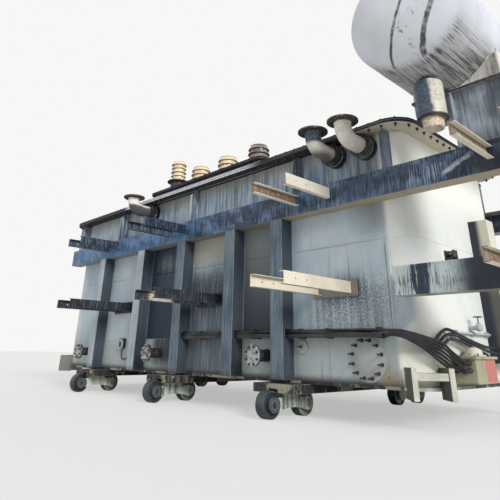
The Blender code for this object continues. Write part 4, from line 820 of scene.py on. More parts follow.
def boltFinish():
    # Dark steel that browns in patches
    g = Graph("boltSteel")
    fine = g.noise(24.0, 5.0, 0.7)
    g.paint = g.mix(g.ramp(fine + g.noise(2.4, 4.0) * 0.4, 0.55, 0.9), *boltLook["steel"])
    return g.finish(g.ramp(fine, 0.3, 0.7, (0.4, 0.7)), fine, 0.001, 0.4, metallic=0.35)


wornLook = {"bare": ((0.34, 0.33, 0.31), (0.10, 0.085, 0.075))}


def wornFinish():
    # Bevels where the paint has rubbed thin
    g = Graph("wornEdge")
    fine = g.noise(22.0, 5.0, 0.7)
    g.paint = g.mix(g.ramp(fine + g.noise(1.8, 4.0) * 0.5, 0.55, 0.95), *wornLook["bare"])
    return g.finish(0.55, fine, 0.001, 0.3)


# Points and faces gathered as arrays
class Shape:
    def __init__(self):
        self.points, self.faces, self.count = [], [], 0

    def add(self, points, faces):
        self.points.append(np.asarray(points, float).reshape(-1, 3))
        self.faces += [[int(i) + self.count for i in face] for face in faces]
        self.count += len(self.points[-1])
        return self

    # A grid of points, rows by columns, joined by quads; the first and last row are closed by a face
    def grid(self, points, closeRows=False):
        rows, columns = points.shape[:2]
        r, c = np.meshgrid(np.arange(rows if closeRows else rows - 1), np.arange(columns), indexing="ij")
        nextR, nextC = (r + 1) % rows, (c + 1) % columns
        corners = (r * columns + c, r * columns + nextC, nextR * columns + nextC, nextR * columns + c)
        quads = np.stack(corners, -1)
        faces = quads.reshape(-1, 4).tolist()
        if not closeRows:
            faces.append(list(range(columns))[::-1])
            faces.append(list(range((rows - 1) * columns, rows * columns)))
        return self.add(points, faces)

    # The same small shape at many places, each turned by its own 3 by 3 matrix
    def scatter(self, points, faces, places, turns):
        moved = np.einsum("mij,nj->mni", turns, points) + places[:, None, :]
        for copy in moved:
            self.add(copy, faces)
        return self


def build(name, shape, finish, body=plant, bevel=None, crease=math.radians(35)):
    # one mesh from the gathered arrays, faces turned outwards, smooth up to the crease angle
    mesh = bpy.data.meshes.new(name)
    mesh.from_pydata(np.concatenate(shape.points).tolist(), [], shape.faces)
    bm = bmesh.new()
    bm.from_mesh(mesh)
    bmesh.ops.recalc_face_normals(bm, faces=bm.faces)
    bm.to_mesh(mesh)
    bm.free()
    mesh.shade_smooth()
    mesh.set_sharp_from_angle(angle=crease)
    mesh.materials.append(finishes[finish])
    made = bpy.data.objects.new(name, mesh)
    bpy.context.scene.collection.objects.link(made)
    if bevel:
        edges = made.modifiers.new("edges", "BEVEL")
        edges.width, edges.segments, edges.limit_method = bevel, 2, "ANGLE"
    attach(made, body)
    return made


def turning(direction):
    # the 3 by 3 matrix that lays Z along a direction
    return np.array(Vector(direction).to_track_quat("Z", "Y").to_matrix())


def revolve(profile, count=48, direction=upwards, place=(0, 0, 0)):
    # radius and height of each profile point, carried round an axis
    profile = np.asarray(profile, float)
    angle = np.arange(count) * 2 * math.pi / count
    ring = np.stack([np.cos(angle), np.sin(angle)], -1)
    flat = profile[:, None, :1] * ring[None]
    height = np.broadcast_to(profile[:, None, 1:], (len(profile), count, 1))
    points = np.concatenate([flat, height], -1)
    return points @ turning(direction).T + np.asarray(place, float)


def tube(path, radius, count, reference):
    # a circle carried square to a path, from a side vector got by crossing its run with a fixed one
    path = np.asarray(path, float)
    run = np.gradient(path, axis=0)
    run /= np.linalg.norm(run, axis=1, keepdims=True)
    side = np.cross(run, reference)
    side /= np.linalg.norm(side, axis=1, keepdims=True)
    up = np.cross(run, side)
    angle = np.arange(count) * 2 * math.pi / count
    ring = np.cos(angle)[None, :, None] * side[:, None] + np.sin(angle)[None, :, None] * up[:, None]
    return path[:, None] + radius * ring


def closedTube(path, radius, count, reference):
    # a tube whose last ring meets its first
    wrapped = np.vstack([path[-1:], path, path[:1]])
    return tube(wrapped, radius, count, reference)[1:-1]


def smoothPath(points, count):
    # a Catmull-Rom curve through the points
    points = np.asarray(points, float)
    padded = np.vstack([2 * points[0] - points[1], points, 2 * points[-1] - points[-2]])
    t = np.linspace(0, len(points) - 1 - 1e-9, count)
    i = t.astype(int)
    t = (t - i)[:, None]
    a, b, c, d = padded[i], padded[i + 1], padded[i + 2], padded[i + 3]
    bend, twist = 2 * a - 5 * b + 4 * c - d, 3 * b - a - 3 * c + d
    return 0.5 * (2 * b + (c - a) * t + bend * t ** 2 + twist * t ** 3)


def roundedRing(halfX, halfY, radius, steps=16, spacing=None, middle=0.0):
    # a rectangle with round corners, anticlockwise; straight sides are split at the spacing
    rows = []
    corners = ((1, 1, 0), (-1, 1, 90), (-1, -1, 180), (1, -1, 270))
    for signX, signY, start in corners:
        angle = np.radians(np.linspace(start, start + 90, steps + 1))
        centre = np.array([signX * (halfX - radius), signY * (halfY - radius)])
        rows.append(centre + radius * np.stack([np.cos(angle), np.sin(angle)], -1))
    ring = np.concatenate(rows)
    if spacing:
        following = np.roll(ring, -1, axis=0)
        pieces = np.maximum(1, np.ceil(np.linalg.norm(following - ring, axis=1) / spacing).astype(int))
        start = np.repeat(np.arange(len(ring)), pieces)
        share = np.arange(pieces.sum()) - np.repeat(np.cumsum(pieces) - pieces, pieces)
        share = (share / pieces[start])[:, None]
        ring = ring[start] * (1 - share) + following[start] * share
    return ring + np.array([atX(middle), 0.0])


def offsetRing(halfX, halfY, radius, middle=0.0):
    # the outline as a function of how far out it is moved
    return lambda out: roundedRing(halfX + out, halfY + out, radius + out, middle=middle)


def level(ring, height):
    # a flat outline lifted to a height
    return np.column_stack([ring, np.full(len(ring), height)])


def layers(ringAt, levels):
    # rings one above the other; each level is how far out from the plain outline, and its height
    return np.stack([level(ringAt(out), height) for out, height in levels])


def block(low, high):
    # the eight corners between two opposite ones, and the six faces
    low, high = np.minimum(low, high), np.maximum(low, high)
    corner = np.array([[i, j, k] for k in (0, 1) for j in (0, 1) for i in (0, 1)])
    faces = [[0, 2, 3, 1], [4, 5, 7, 6], [0, 1, 5, 4], [2, 6, 7, 3], [0, 4, 6, 2], [1, 3, 7, 5]]
    return low + corner * (high - low), faces


def softened(node, finish, width):
    # a merged copy of a CAD node with its edges rounded; the bevels show worn paint
    bm = bmesh.new()
    bm.from_mesh(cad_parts[node].data)
    bmesh.ops.remove_doubles(bm, verts=bm.verts, dist=1e-5)
    bmesh.ops.dissolve_limit(bm, angle_limit=math.radians(1), verts=bm.verts, edges=bm.edges)
    mesh = bpy.data.meshes.new(node + "_soft")
    bm.to_mesh(mesh)
    bm.free()
    mesh.materials.clear()
    mesh.materials.append(finishes[finish])
    mesh.materials.append(finishes["worn"])
    mesh.polygons.foreach_set("material_index", np.zeros(len(mesh.polygons), np.int32))
    made = bpy.data.objects.new(node + "_soft", mesh)
    bpy.context.scene.collection.objects.link(made)
    edges = made.modifiers.new("edges", "BEVEL")
    edges.width, edges.segments, edges.limit_method = width, 1, "ANGLE"
    edges.angle_limit = math.radians(40)
    edges.material = 1
    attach(made, plant)
    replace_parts(made, node)
    return made


# Camera, from the photograph's own perspective
cameraLook = {"place": (8.00, -7.60, 0.852), "turn": 46.26, "tilt": 24.54, "roll": 0.92,
              "lens": 34.84, "sensor": 36.0, "shift": -0.24, "farthest": 400}


def buildCamera():
    # turned about the vertical, tilted up, then rolled about its own line of sight
    look = cameraLook
    turn, tilt, roll = (math.radians(look[k]) for k in ("turn", "tilt", "roll"))
    right = Vector((math.cos(turn), math.sin(turn), 0))
    ahead = Vector((-math.sin(turn) * math.cos(tilt), math.cos(turn) * math.cos(tilt), math.sin(tilt)))
    above = right.cross(ahead)
    rightRolled = math.cos(roll) * right + math.sin(roll) * above
    aboveRolled = math.cos(roll) * above - math.sin(roll) * right
    basis = Matrix((rightRolled, aboveRolled, -ahead)).transposed().to_4x4()
    data = bpy.data.cameras.new("camera")
    data.lens, data.sensor_width, data.shift_y = look["lens"], look["sensor"], look["shift"]
    data.clip_end = look["farthest"]
    camera = bpy.data.objects.new("camera", data)
    x, y, z = look["place"]
    camera.matrix_world = Matrix.Translation((atX(x), y, z)) @ basis
    bpy.context.scene.collection.objects.link(camera)
    bpy.context.scene.camera = camera


# Tank shell
shell = {"spacing": 0.10, "rows": 36, "dent": 0.005, "corner": 0.34, "seam": 2.32, "seamRadius": 0.007,
         "cornerSeam": 4.47, "seamFoot": 0.01, "seamTop": 0.05}
beadSection = np.array([(0.0, -1.0), (0.7, -0.7), (1.0, 0.0), (0.7, 0.7), (0.0, 1.0), (-0.8, 0.0)])


def buildTank():
    # a rounded outline carried up the wall, pulled in a few millimetres between the ribs by two sine waves
    halfX, halfY = lengthHalf, wallOut - touch
    ring = roundedRing(halfX, halfY, shell["corner"], spacing=shell["spacing"])
    points = np.stack([level(ring, h) for h in np.linspace(tankFoot, tankTop, shell["rows"])])
    x, z = points[..., 0] - tankMiddle, points[..., 2]
    side = np.clip((halfX - shell["corner"] - np.abs(x)) / 0.3, 0, 1)
    swell = np.sin(x * 2.9 + 0.7) * np.sin(z * 2.1) + 0.5 * np.sin(x * 6.1 + z * 2.3)
    edge = np.clip((z - tankFoot) / 0.4, 0, 1) * np.clip((tankTop - z) / 0.3, 0, 1)
    inward = shell["dent"] * (0.75 + 0.5 * swell) * side * edge
    points[..., 1] -= np.sign(points[..., 1]) * np.clip(inward, 0, None)
    tank = build("tank_shell", Shape().grid(points), "tank_paint")
    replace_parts(tank, "tank_body")

    seams = Shape()
    outline = offsetRing(halfX, halfY, shell["corner"])
    bead = [(out, shell["seam"] + up) for out, up in beadSection * shell["seamRadius"]]
    seams.grid(layers(outline, bead), closeRows=True)
    for sign in (-1, 1):
        for place in (-shell["cornerSeam"], shell["cornerSeam"]):
            foot = (atX(place), sign * halfY, tankFoot + shell["seamFoot"])
            top = (atX(place), sign * halfY, tankTop - shell["seamTop"])
            seams.grid(tube(np.linspace(foot, top, 40), shell["seamRadius"], 8, (1, 0, 0)))
    build("weld_seams", seams, "tank_paint")


# Top flange, fins and cover
rim = {"overhang": 0.27, "corner": 0.40, "thickness": 0.035, "edge": 0.004, "inward": 0.03,
       "boltInset": 0.055,
       "boltPitch": 0.21, "finPlaces": (-4.64, -2.60, 0.17, 2.95, 4.64), "finReach": 0.22, "finThick": 0.020,
       "finChamfer": 0.12, "finRoot": 0.02, "finLift": 0.001, "finBevel": 0.003}


def flangeSize(inset=0.0):
    # half the flange's length and half its width, drawn in by the inset
    return lengthHalf + rim["overhang"] - inset, wallOut + rim["overhang"] - inset


def buildTopFlange():
    # a flat ring: its section runs down the outside, along the bottom and up the inside
    halfX, halfY = flangeSize()
    outline = offsetRing(halfX, halfY - touch, rim["corner"])
    low, top, edge = tankTop - rim["thickness"], tankTop, rim["edge"]
    width = rim["overhang"] + rim["inward"]
    levels = [(-width, low), (-edge, low), (0, low + edge), (0, top - edge), (-edge, top), (-width, top)]
    ring = Shape().grid(layers(outline, levels), closeRows=True)
    flange = build("top_flange_ring", ring, "oiled_paint")
    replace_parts(flange, "top_flange")

    # fins: a chamfered outline from the wall to the flange's tip, thick along the tank
    fins = Shape()
    foot, cut, half = beltHigh + rim["finLift"], rim["finChamfer"], rim["finThick"] / 2
    tip = wallOut + rim["finReach"]
    for _, sign in sides:
        for place in rim["finPlaces"]:
            inset = max(0.0, abs(place) - (lengthHalf - shell["corner"]))
            wall = wallOut - shell["corner"] + math.sqrt(shell["corner"] ** 2 - inset ** 2)
            root = wall - rim["finRoot"]
            outline = np.array([(root, foot), (tip, foot), (tip, low - cut), (tip - cut, low), (root, low)])
            flat = outline * [sign, 1]
            rows = [np.column_stack([np.full(len(flat), atX(place) + t), flat]) for t in (-half, half)]
            fins.grid(np.stack(rows))
    build("flange_fins", fins, "oiled_paint", bevel=rim["finBevel"])


chest = {"left": -2.22, "right": 1.55, "halfWidth": 1.12, "corner": 0.06, "rim": 0.09, "rimThick": 0.065,
         "boltPitch": 0.18, "boltInset": 0.045, "weld": 0.012, "steps": 12}
chestMiddle, chestHalf = (chest["left"] + chest["right"]) / 2, (chest["right"] - chest["left"]) / 2


def buildCover():
    # three stacked plates with softened edges; the chest's wall joins the two lower rims
    low, high, e = lowOf("cover")[2], highOf("cover")[2], rim["edge"]
    halfX, halfY = flangeSize()
    outline = offsetRing(halfX, halfY - touch, rim["corner"])
    plate = Shape().grid(layers(outline, [(-e, low), (0, low + e), (0, plateTop - e), (-e, plateTop)]))
    body = offsetRing(chestHalf, chest["halfWidth"], chest["corner"], chestMiddle)
    rimLow, weld, out = high - chest["rimThick"], chest["weld"], chest["rim"]
    plate.grid(layers(body, [(weld, plateTop - 0.002), (weld, plateTop + 0.004),
                             (0, plateTop + weld + 0.004), (0, rimLow + 0.003)]))
    plate.grid(layers(body, [(out - e, rimLow), (out, rimLow + e), (out, high - 0.027),
                             (out - 0.003, high - 0.0255),
                             (out, high - 0.024), (out, high - e), (out - e, high)]))
    cover = build("cover_plates", plate, "cover_paint")
    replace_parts(cover, "cover")


# Hexagon bolts with washers, many in one mesh: width across the flats, height, and thread that shows
boltSizes = {
    "cover": (0.036, 0.022, 0.012), "flange": (0.036, 0.026, 0.020), "chest": (0.030, 0.018, 0.0),
    "chestNut": (0.030, 0.022, 0.012), "turret": (0.026, 0.017, 0.0), "boss": (0.020, 0.014, 0.0),
    "breather": (0.018, 0.014, 0.0), "pipe": (0.026, 0.018, 0.010), "wheel": (0.020, 0.010, 0.0),
    "drain": (0.030, 0.019, 0.016), "drainNut": (0.030, 0.022, 0.014), "stud": (0.036, 0.030, 0.075),
    "lid": (0.022, 0.014, 0.0),
}


def hexBolt(across, height, shank, washer=1.35):
    # a washer, a six-sided head with a chamfered top and, if asked, the end of its thread
    shape = Shape()
    flat, corner = across * 0.5, across * 0.577
    if washer:
        shape.grid(revolve([(flat * washer, 0), (flat * washer, height * 0.18)], 12))
    shape.grid(revolve([(corner, height * 0.15), (corner, height * 0.9), (flat, height)], 6))
    if shank:
        thread, tip = across * 0.32, height + shank
        shape.grid(revolve([(thread, height * 0.8), (thread, tip - 0.003), (across * 0.26, tip)], 8))
    return np.concatenate(shape.points), shape.faces


def bolts(name, places, directions, size):
    # one bolt of a named size, copied to each place and turned to its direction
    points, faces = hexBolt(*boltSizes[size])
    directions = np.broadcast_to(np.asarray(directions, float), (len(places), 3))
    turns = np.stack([turning(d) for d in directions])
    shape = Shape().scatter(points, faces, np.asarray(places, float), turns)
    return build(name, shape, "bolt")


def alongRing(ring, height, pitch):
    # places at an even pitch round a closed outline
    closed = np.vstack([ring, ring[:1]])
    run = np.concatenate([[0], np.cumsum(np.linalg.norm(np.diff(closed, axis=0), axis=1))])
    at = np.arange(0, run[-1] - pitch * 0.5, run[-1] / round(run[-1] / pitch))
    flat = np.column_stack([np.interp(at, run, closed[:, 0]), np.interp(at, run, closed[:, 1])])
    return level(flat, height)


def circle(centre, axis, radius, count, start=0.0):
    # places round a bolt circle about an axis
    angle = np.arange(count) * 2 * math.pi / count + start
    flat = np.stack([np.cos(angle), np.sin(angle), np.zeros(count)], -1) * radius
    return flat @ turning(axis).T + np.asarray(centre, float)


def buildCoverBolts():
    # bolts round two outlines, with their nuts below
    ring = roundedRing(*flangeSize(rim["boltInset"]), rim["corner"] - rim["boltInset"])
    bolts("cover_bolts", alongRing(ring, plateTop, rim["boltPitch"]), upwards, "cover")
    bolts("flange_nuts", alongRing(ring, tankTop - rim["thickness"], rim["boltPitch"]), downwards, "flange")
    out = chest["rim"] - chest["boltInset"]
    ring = roundedRing(chestHalf + out, chest["halfWidth"] + out, chest["corner"] + out, chest["steps"],
                       middle=chestMiddle)
    top = highOf("cover")[2]
    bolts("chest_bolts", alongRing(ring, top, chest["boltPitch"]), upwards, "chest")
    bolts("chest_nuts", alongRing(ring, top - chest["rimThick"], chest["boltPitch"]), downwards, "chestNut")


# Bushing stumps
bushing = {"pitch": 0.105, "overhang": 0.042, "turret": 0.19, "flange": 0.27, "flangeThick": 0.030,
           "collar": 0.165,
           "capHeight": 0.04, "flangeBolts": 12, "boltInset": 0.035, "lipStep": 0.007}
lowStack = {"shed": 0.24, "count": 4, "turret": 0.10, "cap": 0.19}
stacks = ({"shed": 0.20, "count": 5, "turret": 0.40, "cap": 0.13}, lowStack, lowStack, lowStack)


def shedProfile(stack):
    # each shed slopes down from the core to a rounded lip and runs back under it
    core = stack["shed"] - bushing["overhang"]
    rows = []
    for number in range(stack["count"]):
        foot = stack["turret"] + number * bushing["pitch"]
        lip = stack["shed"] - bushing["lipStep"] * (number % 2)
        rows += [(core, foot + 0.004), (core + 0.010, foot + 0.010), (lip - 0.012, foot + 0.014),
                 (lip - 0.003, foot + 0.016), (lip, foot + 0.022), (lip - 0.003, foot + 0.032),
                 (lip - 0.014, foot + 0.041), (core + 0.012, foot + 0.064), (core + 0.003, foot + 0.076),
                 (core, foot + 0.090)]
    return rows


def buildBushings():
    # a flanged turret, a stack of sheds and a domed cap, each a profile carried round one axis
    look = bushing
    for number, stack in enumerate(stacks, 1):
        node = f"bushing_{number}"
        x, y, _ = centreOf(node)
        foot, height, flange = lowOf(node)[2], stack["turret"], look["flange"]
        place, under = (x, y, foot), height - look["flangeThick"]
        turret = Shape().grid(revolve([
            (look["turret"], 0), (look["turret"], under), (flange - 0.003, under), (flange, under + 0.003),
            (flange, height - 0.003), (flange - 0.003, height), (look["collar"], height),
            (look["collar"], height + 0.004)], 64, place=place))
        build(f"turret_{number}", turret, "turret")
        sheds = Shape().grid(revolve(shedProfile(stack), 72, place=place))
        made = build(f"porcelain_{number}", sheds, "porcelain", crease=math.radians(50))
        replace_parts(made, node)
        top = height + look["pitch"] * stack["count"]
        cap, core = stack["cap"], stack["shed"] - look["overhang"]
        lid = Shape().grid(revolve([
            (core - 0.01, top - 0.018), (core - 0.006, top), (cap, top + 0.003), (cap + 0.001, top + 0.012),
            (cap - 0.012, top + 0.020), (cap * 0.75, top + 0.030), (cap * 0.45, top + 0.037),
            (cap * 0.12, top + look["capHeight"])], 48, place=place))
        build(f"bushing_cap_{number}", lid, "porcelain")
        ring = circle((x, y, foot + height), upwards, flange - look["boltInset"], look["flangeBolts"])
        bolts(f"turret_bolts_{number}", ring, upwards, "turret")


# Conservator
drum = {"radius": 0.7775, "half": 2.60, "endDepth": 0.40, "seamAt": (2.20, 1.47, 0.0), "seamRaise": 0.0035,
        "boss": 2.20, "bossRadius": 0.100, "bossThick": 0.022, "bossBolts": 6, "bossCircle": 0.082}
# Each bead's points: how far along the drum, and which share of the rise
seamSection = ((-0.012, 0), (-0.005, 0.7), (0, 1.0), (0.005, 0.7), (0.012, 0))


def buildDrum():
    # half an ellipse, a straight shell with slight weld beads, and half an ellipse again
    node, raised = "conservator_drum", drum["seamRaise"]
    centre = (centreOf(node)[0], 0.0, highOf(node)[2] - drum["radius"])
    end = np.linspace(0.06, math.pi / 2, 26)
    dome = np.stack([drum["radius"] * np.sin(end), -drum["half"] - drum["endDepth"] * np.cos(end)], -1)
    dome[:, 0] -= raised * (dome[:, 0] / drum["radius"])
    seams = sorted({place * sign for place in drum["seamAt"] for sign in (-1, 1)})
    rows = [(drum["radius"] - raised + raised * rise, seam + off)
            for seam in seams for off, rise in seamSection]
    profile = np.concatenate([dome, np.array(rows), (dome * [1, -1])[::-1]])
    shape = Shape().grid(revolve(profile, 144, direction=(0, 1, 0), place=centre))
    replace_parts(build("drum_shell", shape, "drum_paint", crease=math.radians(60)), node)
    bosses, boltRings = Shape(), []
    for sign in (-1, 1):
        at = np.array([centre[0], sign * drum["boss"], lowOf(node)[2]])
        bosses.grid(revolve([(drum["bossRadius"], 0), (drum["bossRadius"], drum["bossThick"]), (0.062, 0.026),
                             (0.062, 0.16)], 36, place=at))
        face = at + [0, 0, drum["bossThick"]]
        boltRings.append(circle(face, upwards, drum["bossCircle"], drum["bossBolts"]))
    build("drum_bosses", bosses, "turret")
    bolts("boss_bolts", np.concatenate(boltRings), upwards, "boss")


# Its cup hangs a little above the solid's foot
breather = {"lift": 0.045, "radius": 0.180, "rim": 0.195, "cup": 0.128, "neck": 0.068, "bead": 0.004,
            "flange": 0.098, "flangeThick": 0.024, "bolts": 6, "boltCircle": 0.082, "boltStart": 0.3}


def buildBreather():
    # a can with rolled rims and a domed shoulder, over a glass-holder cup
    x, y, _ = centreOf("breather")
    top, foot = highOf("breather")[2], lowOf("breather")[2] + breather["lift"]
    tall = top - foot
    r, out, cup, neck = (breather[k] for k in ("radius", "rim", "cup", "neck"))
    bead, flange, shoulder = r + breather["bead"], breather["flange"], tall - 0.045
    under = tall - breather["flangeThick"]
    profile = [(0.085, 0.0), (cup - 0.010, 0.006), (cup, 0.022), (cup, 0.122), (cup - 0.008, 0.132),
               (0.150, 0.135),
               (out - 0.003, 0.138), (out, 0.142), (out, 0.153), (out - 0.003, 0.158), (r, 0.162), (r, 0.205),
               (bead, 0.209), (bead, 0.217), (r, 0.221), (r, shoulder - 0.085), (bead, shoulder - 0.080),
               (bead, shoulder - 0.070), (r, shoulder - 0.065), (r, shoulder - 0.022),
               (r - 0.008, shoulder - 0.006),
               (0.130, shoulder + 0.010), (0.086, shoulder + 0.022), (neck, shoulder + 0.032),
               (neck, under - 0.002),
               (flange, under), (flange, tall - 0.002), (flange - 0.008, tall)]
    shape = Shape().grid(revolve(profile, 64, place=(x, y, foot)))
    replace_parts(build("breather_can", shape, "breather_paint"), "breather")
    ring = circle((x, y, top - breather["flangeThick"]), upwards, breather["boltCircle"], breather["bolts"],
                  breather["boltStart"])
    bolts("breather_bolts", ring, downwards, "breather")


# Oil pipe elbows
elbow = {"pipe": 0.125, "bend": 0.20, "out": 0.60, "height": 3.70, "lip": 3.975, "flange": 0.232,
         "thick": 0.030,
         "wallFlange": 0.185, "wallThick": 0.028, "neck": 0.13, "valve": 0.165, "valveLength": 0.16,
         "groove": 0.012, "band": 0.088, "bore": 0.11, "bolts": 8, "boltStart": 0.39, "boltCircle": 0.158,
         "mouthCircle": 0.196, "mouthBolts": 5}


def buildElbows():
    # a grooved valve on the wall, then a tube that runs out, turns up a quarter circle and ends in a flange
    look = elbow
    pipe, neck, bore, flange, wide = (look[k] for k in ("pipe", "neck", "bore", "flange", "wallFlange"))
    v, n, t, plate = look["valveLength"], look["valve"], look["thick"], look["wallThick"]
    slot, wall = n - look["groove"], wallOut + 2 * touch
    turn = np.linspace(0, math.pi / 2, 16)
    straight, rise = look["out"] - look["bend"], look["lip"] - look["height"]
    out = np.concatenate([[v, straight * 0.8], straight + look["bend"] * np.sin(turn), [look["out"]] * 2])
    up = np.concatenate([[0, 0], look["bend"] * (1 - np.cos(turn)), [rise - 0.02, rise - 0.001]])
    wallProfile = [(wide, 0), (wide, plate), (neck, plate + 0.002)]
    valveProfile = [(neck, plate), (n, 0.034), (n, 0.070), (slot, 0.074), (slot, 0.100), (n, 0.104),
                    (n, v - 0.006), (neck, v)]
    pipeProfile = [(neck, v), (wide, v + 0.001), (wide, v + plate), (neck, v + plate + 0.004)]
    mouthProfile = [(bore, -0.10), (bore + 0.012, -0.10), (pipe + 0.004, -t - 0.012), (pipe + 0.012, -t),
                    (flange - 0.003, -t), (flange, -t + 0.003), (flange, -0.003), (flange - 0.003, 0.0),
                    (0.15, 0.0), (0.15, -0.003), (bore, -0.003)]
    for side, sign in sides:
        for number in (1, 2, 3):
            node = f"elbow_{side}_{number}"
            x, way = centreOf(node)[0], (0, sign, 0)
            path = np.column_stack([np.full(len(out), x), sign * (wall + out), look["height"] + up])
            shape = Shape().grid(tube(path, pipe, 40, (1, 0, 0)))
            for profile in (wallProfile, valveProfile, pipeProfile):
                shape.grid(revolve(profile, 48, way, (x, sign * wall, look["height"])))
            mouthY = sign * (wall + look["out"])
            shape.grid(revolve(mouthProfile, 56, place=(x, mouthY, look["lip"])), closeRows=True)
            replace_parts(build(f"oil_elbow_{side}_{number}", shape, "elbow_paint"), node)
            ring = circle((x, sign * (wall + v + plate), look["height"]), way, look["boltCircle"],
                          look["bolts"], look["boltStart"])
            bolts(f"elbow_bolts_{side}_{number}", ring, way, "pipe")
            ring = circle((x, mouthY, look["lip"] - t), upwards, look["mouthCircle"],
                          look["bolts"], look["boltStart"])
            bolts(f"mouth_bolts_{side}_{number}", ring[:look["mouthBolts"]], downwards, "pipe")
            ring = circle((x, sign * (wall + look["band"]), look["height"]), way, n + 0.002, 49)
            clamp = Shape().grid(tube(ring, 0.006, 8, (0, 1, 0)))
            build(f"valve_band_{side}_{number}", clamp, "fitting")


# Rollers
roller = {"radius": 0.177, "half": 0.08, "hub": 0.062, "axle": 0.045, "journal": 0.130, "recess": 0.025,
          "rim": 0.035,
          "bolts": 4, "boltCircle": 0.054}


def buildRollers():
    # a tread with turned edges, a dished web, a hub and an axle that runs through both cheeks
    r, h, hub, axle, journal = (roller[k] for k in ("radius", "half", "hub", "axle", "journal"))
    rimIn, web = r - roller["rim"], h - roller["recess"]
    halfProfile = [(axle - 0.006, -journal), (axle, -journal + 0.006), (axle, -h - 0.008), (hub, -h - 0.006),
                   (hub + 0.004, -h), (hub + 0.010, -web - 0.004), (rimIn - 0.012, -web),
                   (rimIn, -web - 0.008),
                   (rimIn + 0.004, -h), (r - 0.008, -h), (r - 0.003, -h + 0.003), (r, -h + 0.010)]
    profile = halfProfile + [(radius, -height) for radius, height in reversed(halfProfile)]
    points, faces = hexBolt(*boltSizes["wheel"], washer=0)
    for node in [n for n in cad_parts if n.startswith("roller_")]:
        x, y, z = centreOf(node)
        shape = Shape().grid(revolve(profile, 72, (1, 0, 0), (x, y, z)))
        for sign in (-1, 1):
            way = (sign, 0, 0)
            ring = circle((x + sign * (h + 0.003), y, z), way, roller["boltCircle"], roller["bolts"])
            shape.scatter(points, faces, ring, np.stack([turning(way)] * roller["bolts"]))
        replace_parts(build(node + "_wheel", shape, "roller_iron", body=node), node)


# Pipe ends and blanks near the foot
stubs = {"places": (-3.61, -0.80, 2.15), "height": 0.79, "reach": 0.34, "radius": 0.155, "pipe": 0.087,
         "flangeDepth": 0.050, "bolts": 8, "boltCircle": 0.130, "boltStart": 0.3927}
port = {"place": 4.00, "height": 0.775, "circle": 0.235, "plate": 0.185, "margin": 0.095, "thick": 0.014,
        "studs": 12, "studStart": 0.26}
blind = {"place": 2.89, "height": 0.92, "radius": 0.095, "face": 0.026, "knob": 0.040, "knobTop": 0.052}


def buildPorts():
    # blanked pipe stubs, a studded round port and a small blind disc, each a profile carried round
    pipe, r, reach, edge = stubs["pipe"], stubs["radius"], stubs["reach"], port["plate"] + port["margin"]
    pipeProfile = [(pipe + 0.01, -0.003), (pipe + 0.006, 0.006), (pipe, 0.014), (pipe, reach - 0.052),
                   (r, reach - 0.050), (r + 0.001, reach - 0.024), (r - 0.01, reach - 0.022)]
    blankProfile = [(r - 0.004, reach - 0.021), (r + 0.001, reach - 0.018), (r + 0.001, reach - 0.004),
                    (r - 0.003, reach)]
    portProfile = [(edge, -0.002), (edge, 0.006), (edge - 0.005, 0.009), (port["plate"] - 0.02, 0.009),
                   (port["plate"] - 0.026, 0.012), (port["plate"] - 0.03, port["thick"])]
    disc, knob = blind["radius"], blind["knob"]
    blindProfile = [(disc + 0.006, -0.002), (disc, 0.006), (disc, 0.022), (disc - 0.006, blind["face"]),
                    (knob, blind["face"]), (knob - 0.004, blind["knobTop"]),
                    (knob - 0.020, blind["knobTop"] + 0.004)]
    pipes, blanks, plates = Shape(), Shape(), Shape()
    boltPlaces, boltWays, nutPlaces, studPlaces, studWays = [], [], [], [], []
    for _, sign in sides:
        way, wall = np.array([0, sign, 0]), sign * (wallOut - touch)
        for x in stubs["places"]:
            at = (atX(x), wall, stubs["height"])
            pipes.grid(revolve(pipeProfile, 48, way, at))
            blanks.grid(revolve(blankProfile, 48, way, at))
            front = at + way * reach
            ring = (way, stubs["boltCircle"], stubs["bolts"], stubs["boltStart"])
            boltPlaces.append(circle(front, *ring))
            nutPlaces.append(circle(front - way * stubs["flangeDepth"], *ring))
            boltWays += [way] * stubs["bolts"]
        at = (atX(port["place"]), wall, port["height"])
        plates.grid(revolve(portProfile, 64, way, at))
        face = at + way * port["thick"]
        studPlaces.append(circle(face, way, port["circle"], port["studs"], port["studStart"]))
        at = (atX(blind["place"]), wall, blind["height"])
        plates.grid(revolve(blindProfile, 48, way, at))
        studPlaces.append(circle(at + way * blind["knobTop"], way, 0.010, 1))
        studWays += [way] * (port["studs"] + 1)
    build("drain_pipes", pipes, "turret")
    build("drain_blanks", blanks, "fitting")
    build("wall_ports", plates, "fitting")
    bolts("drain_bolts", np.concatenate(boltPlaces), boltWays, "drain")
    bolts("drain_nuts", np.concatenate(nutPlaces), [-way for way in boltWays], "drainNut")
    bolts("port_studs", np.concatenate(studPlaces), studWays, "stud")


# End ribs of the tank
endRib = {"place": 0.60, "half": 0.13, "depth": 0.30, "foot": 0.26, "sink": 0.01, "bevel": 0.006}


def buildEndRibs():
    # one block on each end wall, from above the foot to the belt
    ribs = Shape()
    for end in (-1, 1):
        near, foot = endRib["place"] - endRib["half"], tankFoot + endRib["foot"]
        low = (atX(end * (lengthHalf - endRib["sink"])), near, foot)
        high = (atX(end * (lengthHalf + endRib["depth"])), endRib["place"] + endRib["half"], beltLow)
        ribs.add(*block(low, high))
    build("end_ribs", ribs, "rib_paint", bevel=endRib["bevel"])


# Gland box on the near end wall
gland = {"reach": 0.34, "front": -0.84, "back": -0.16, "low": 0.52, "high": 0.80, "lid": 0.030, "dome": 0.15,
         "domeHeight": 0.110, "domeFlange": 0.018, "domeBolts": 8, "boltInset": 0.03, "boltPitch": 0.10,
         "sink": 0.004, "bevel": 0.006}


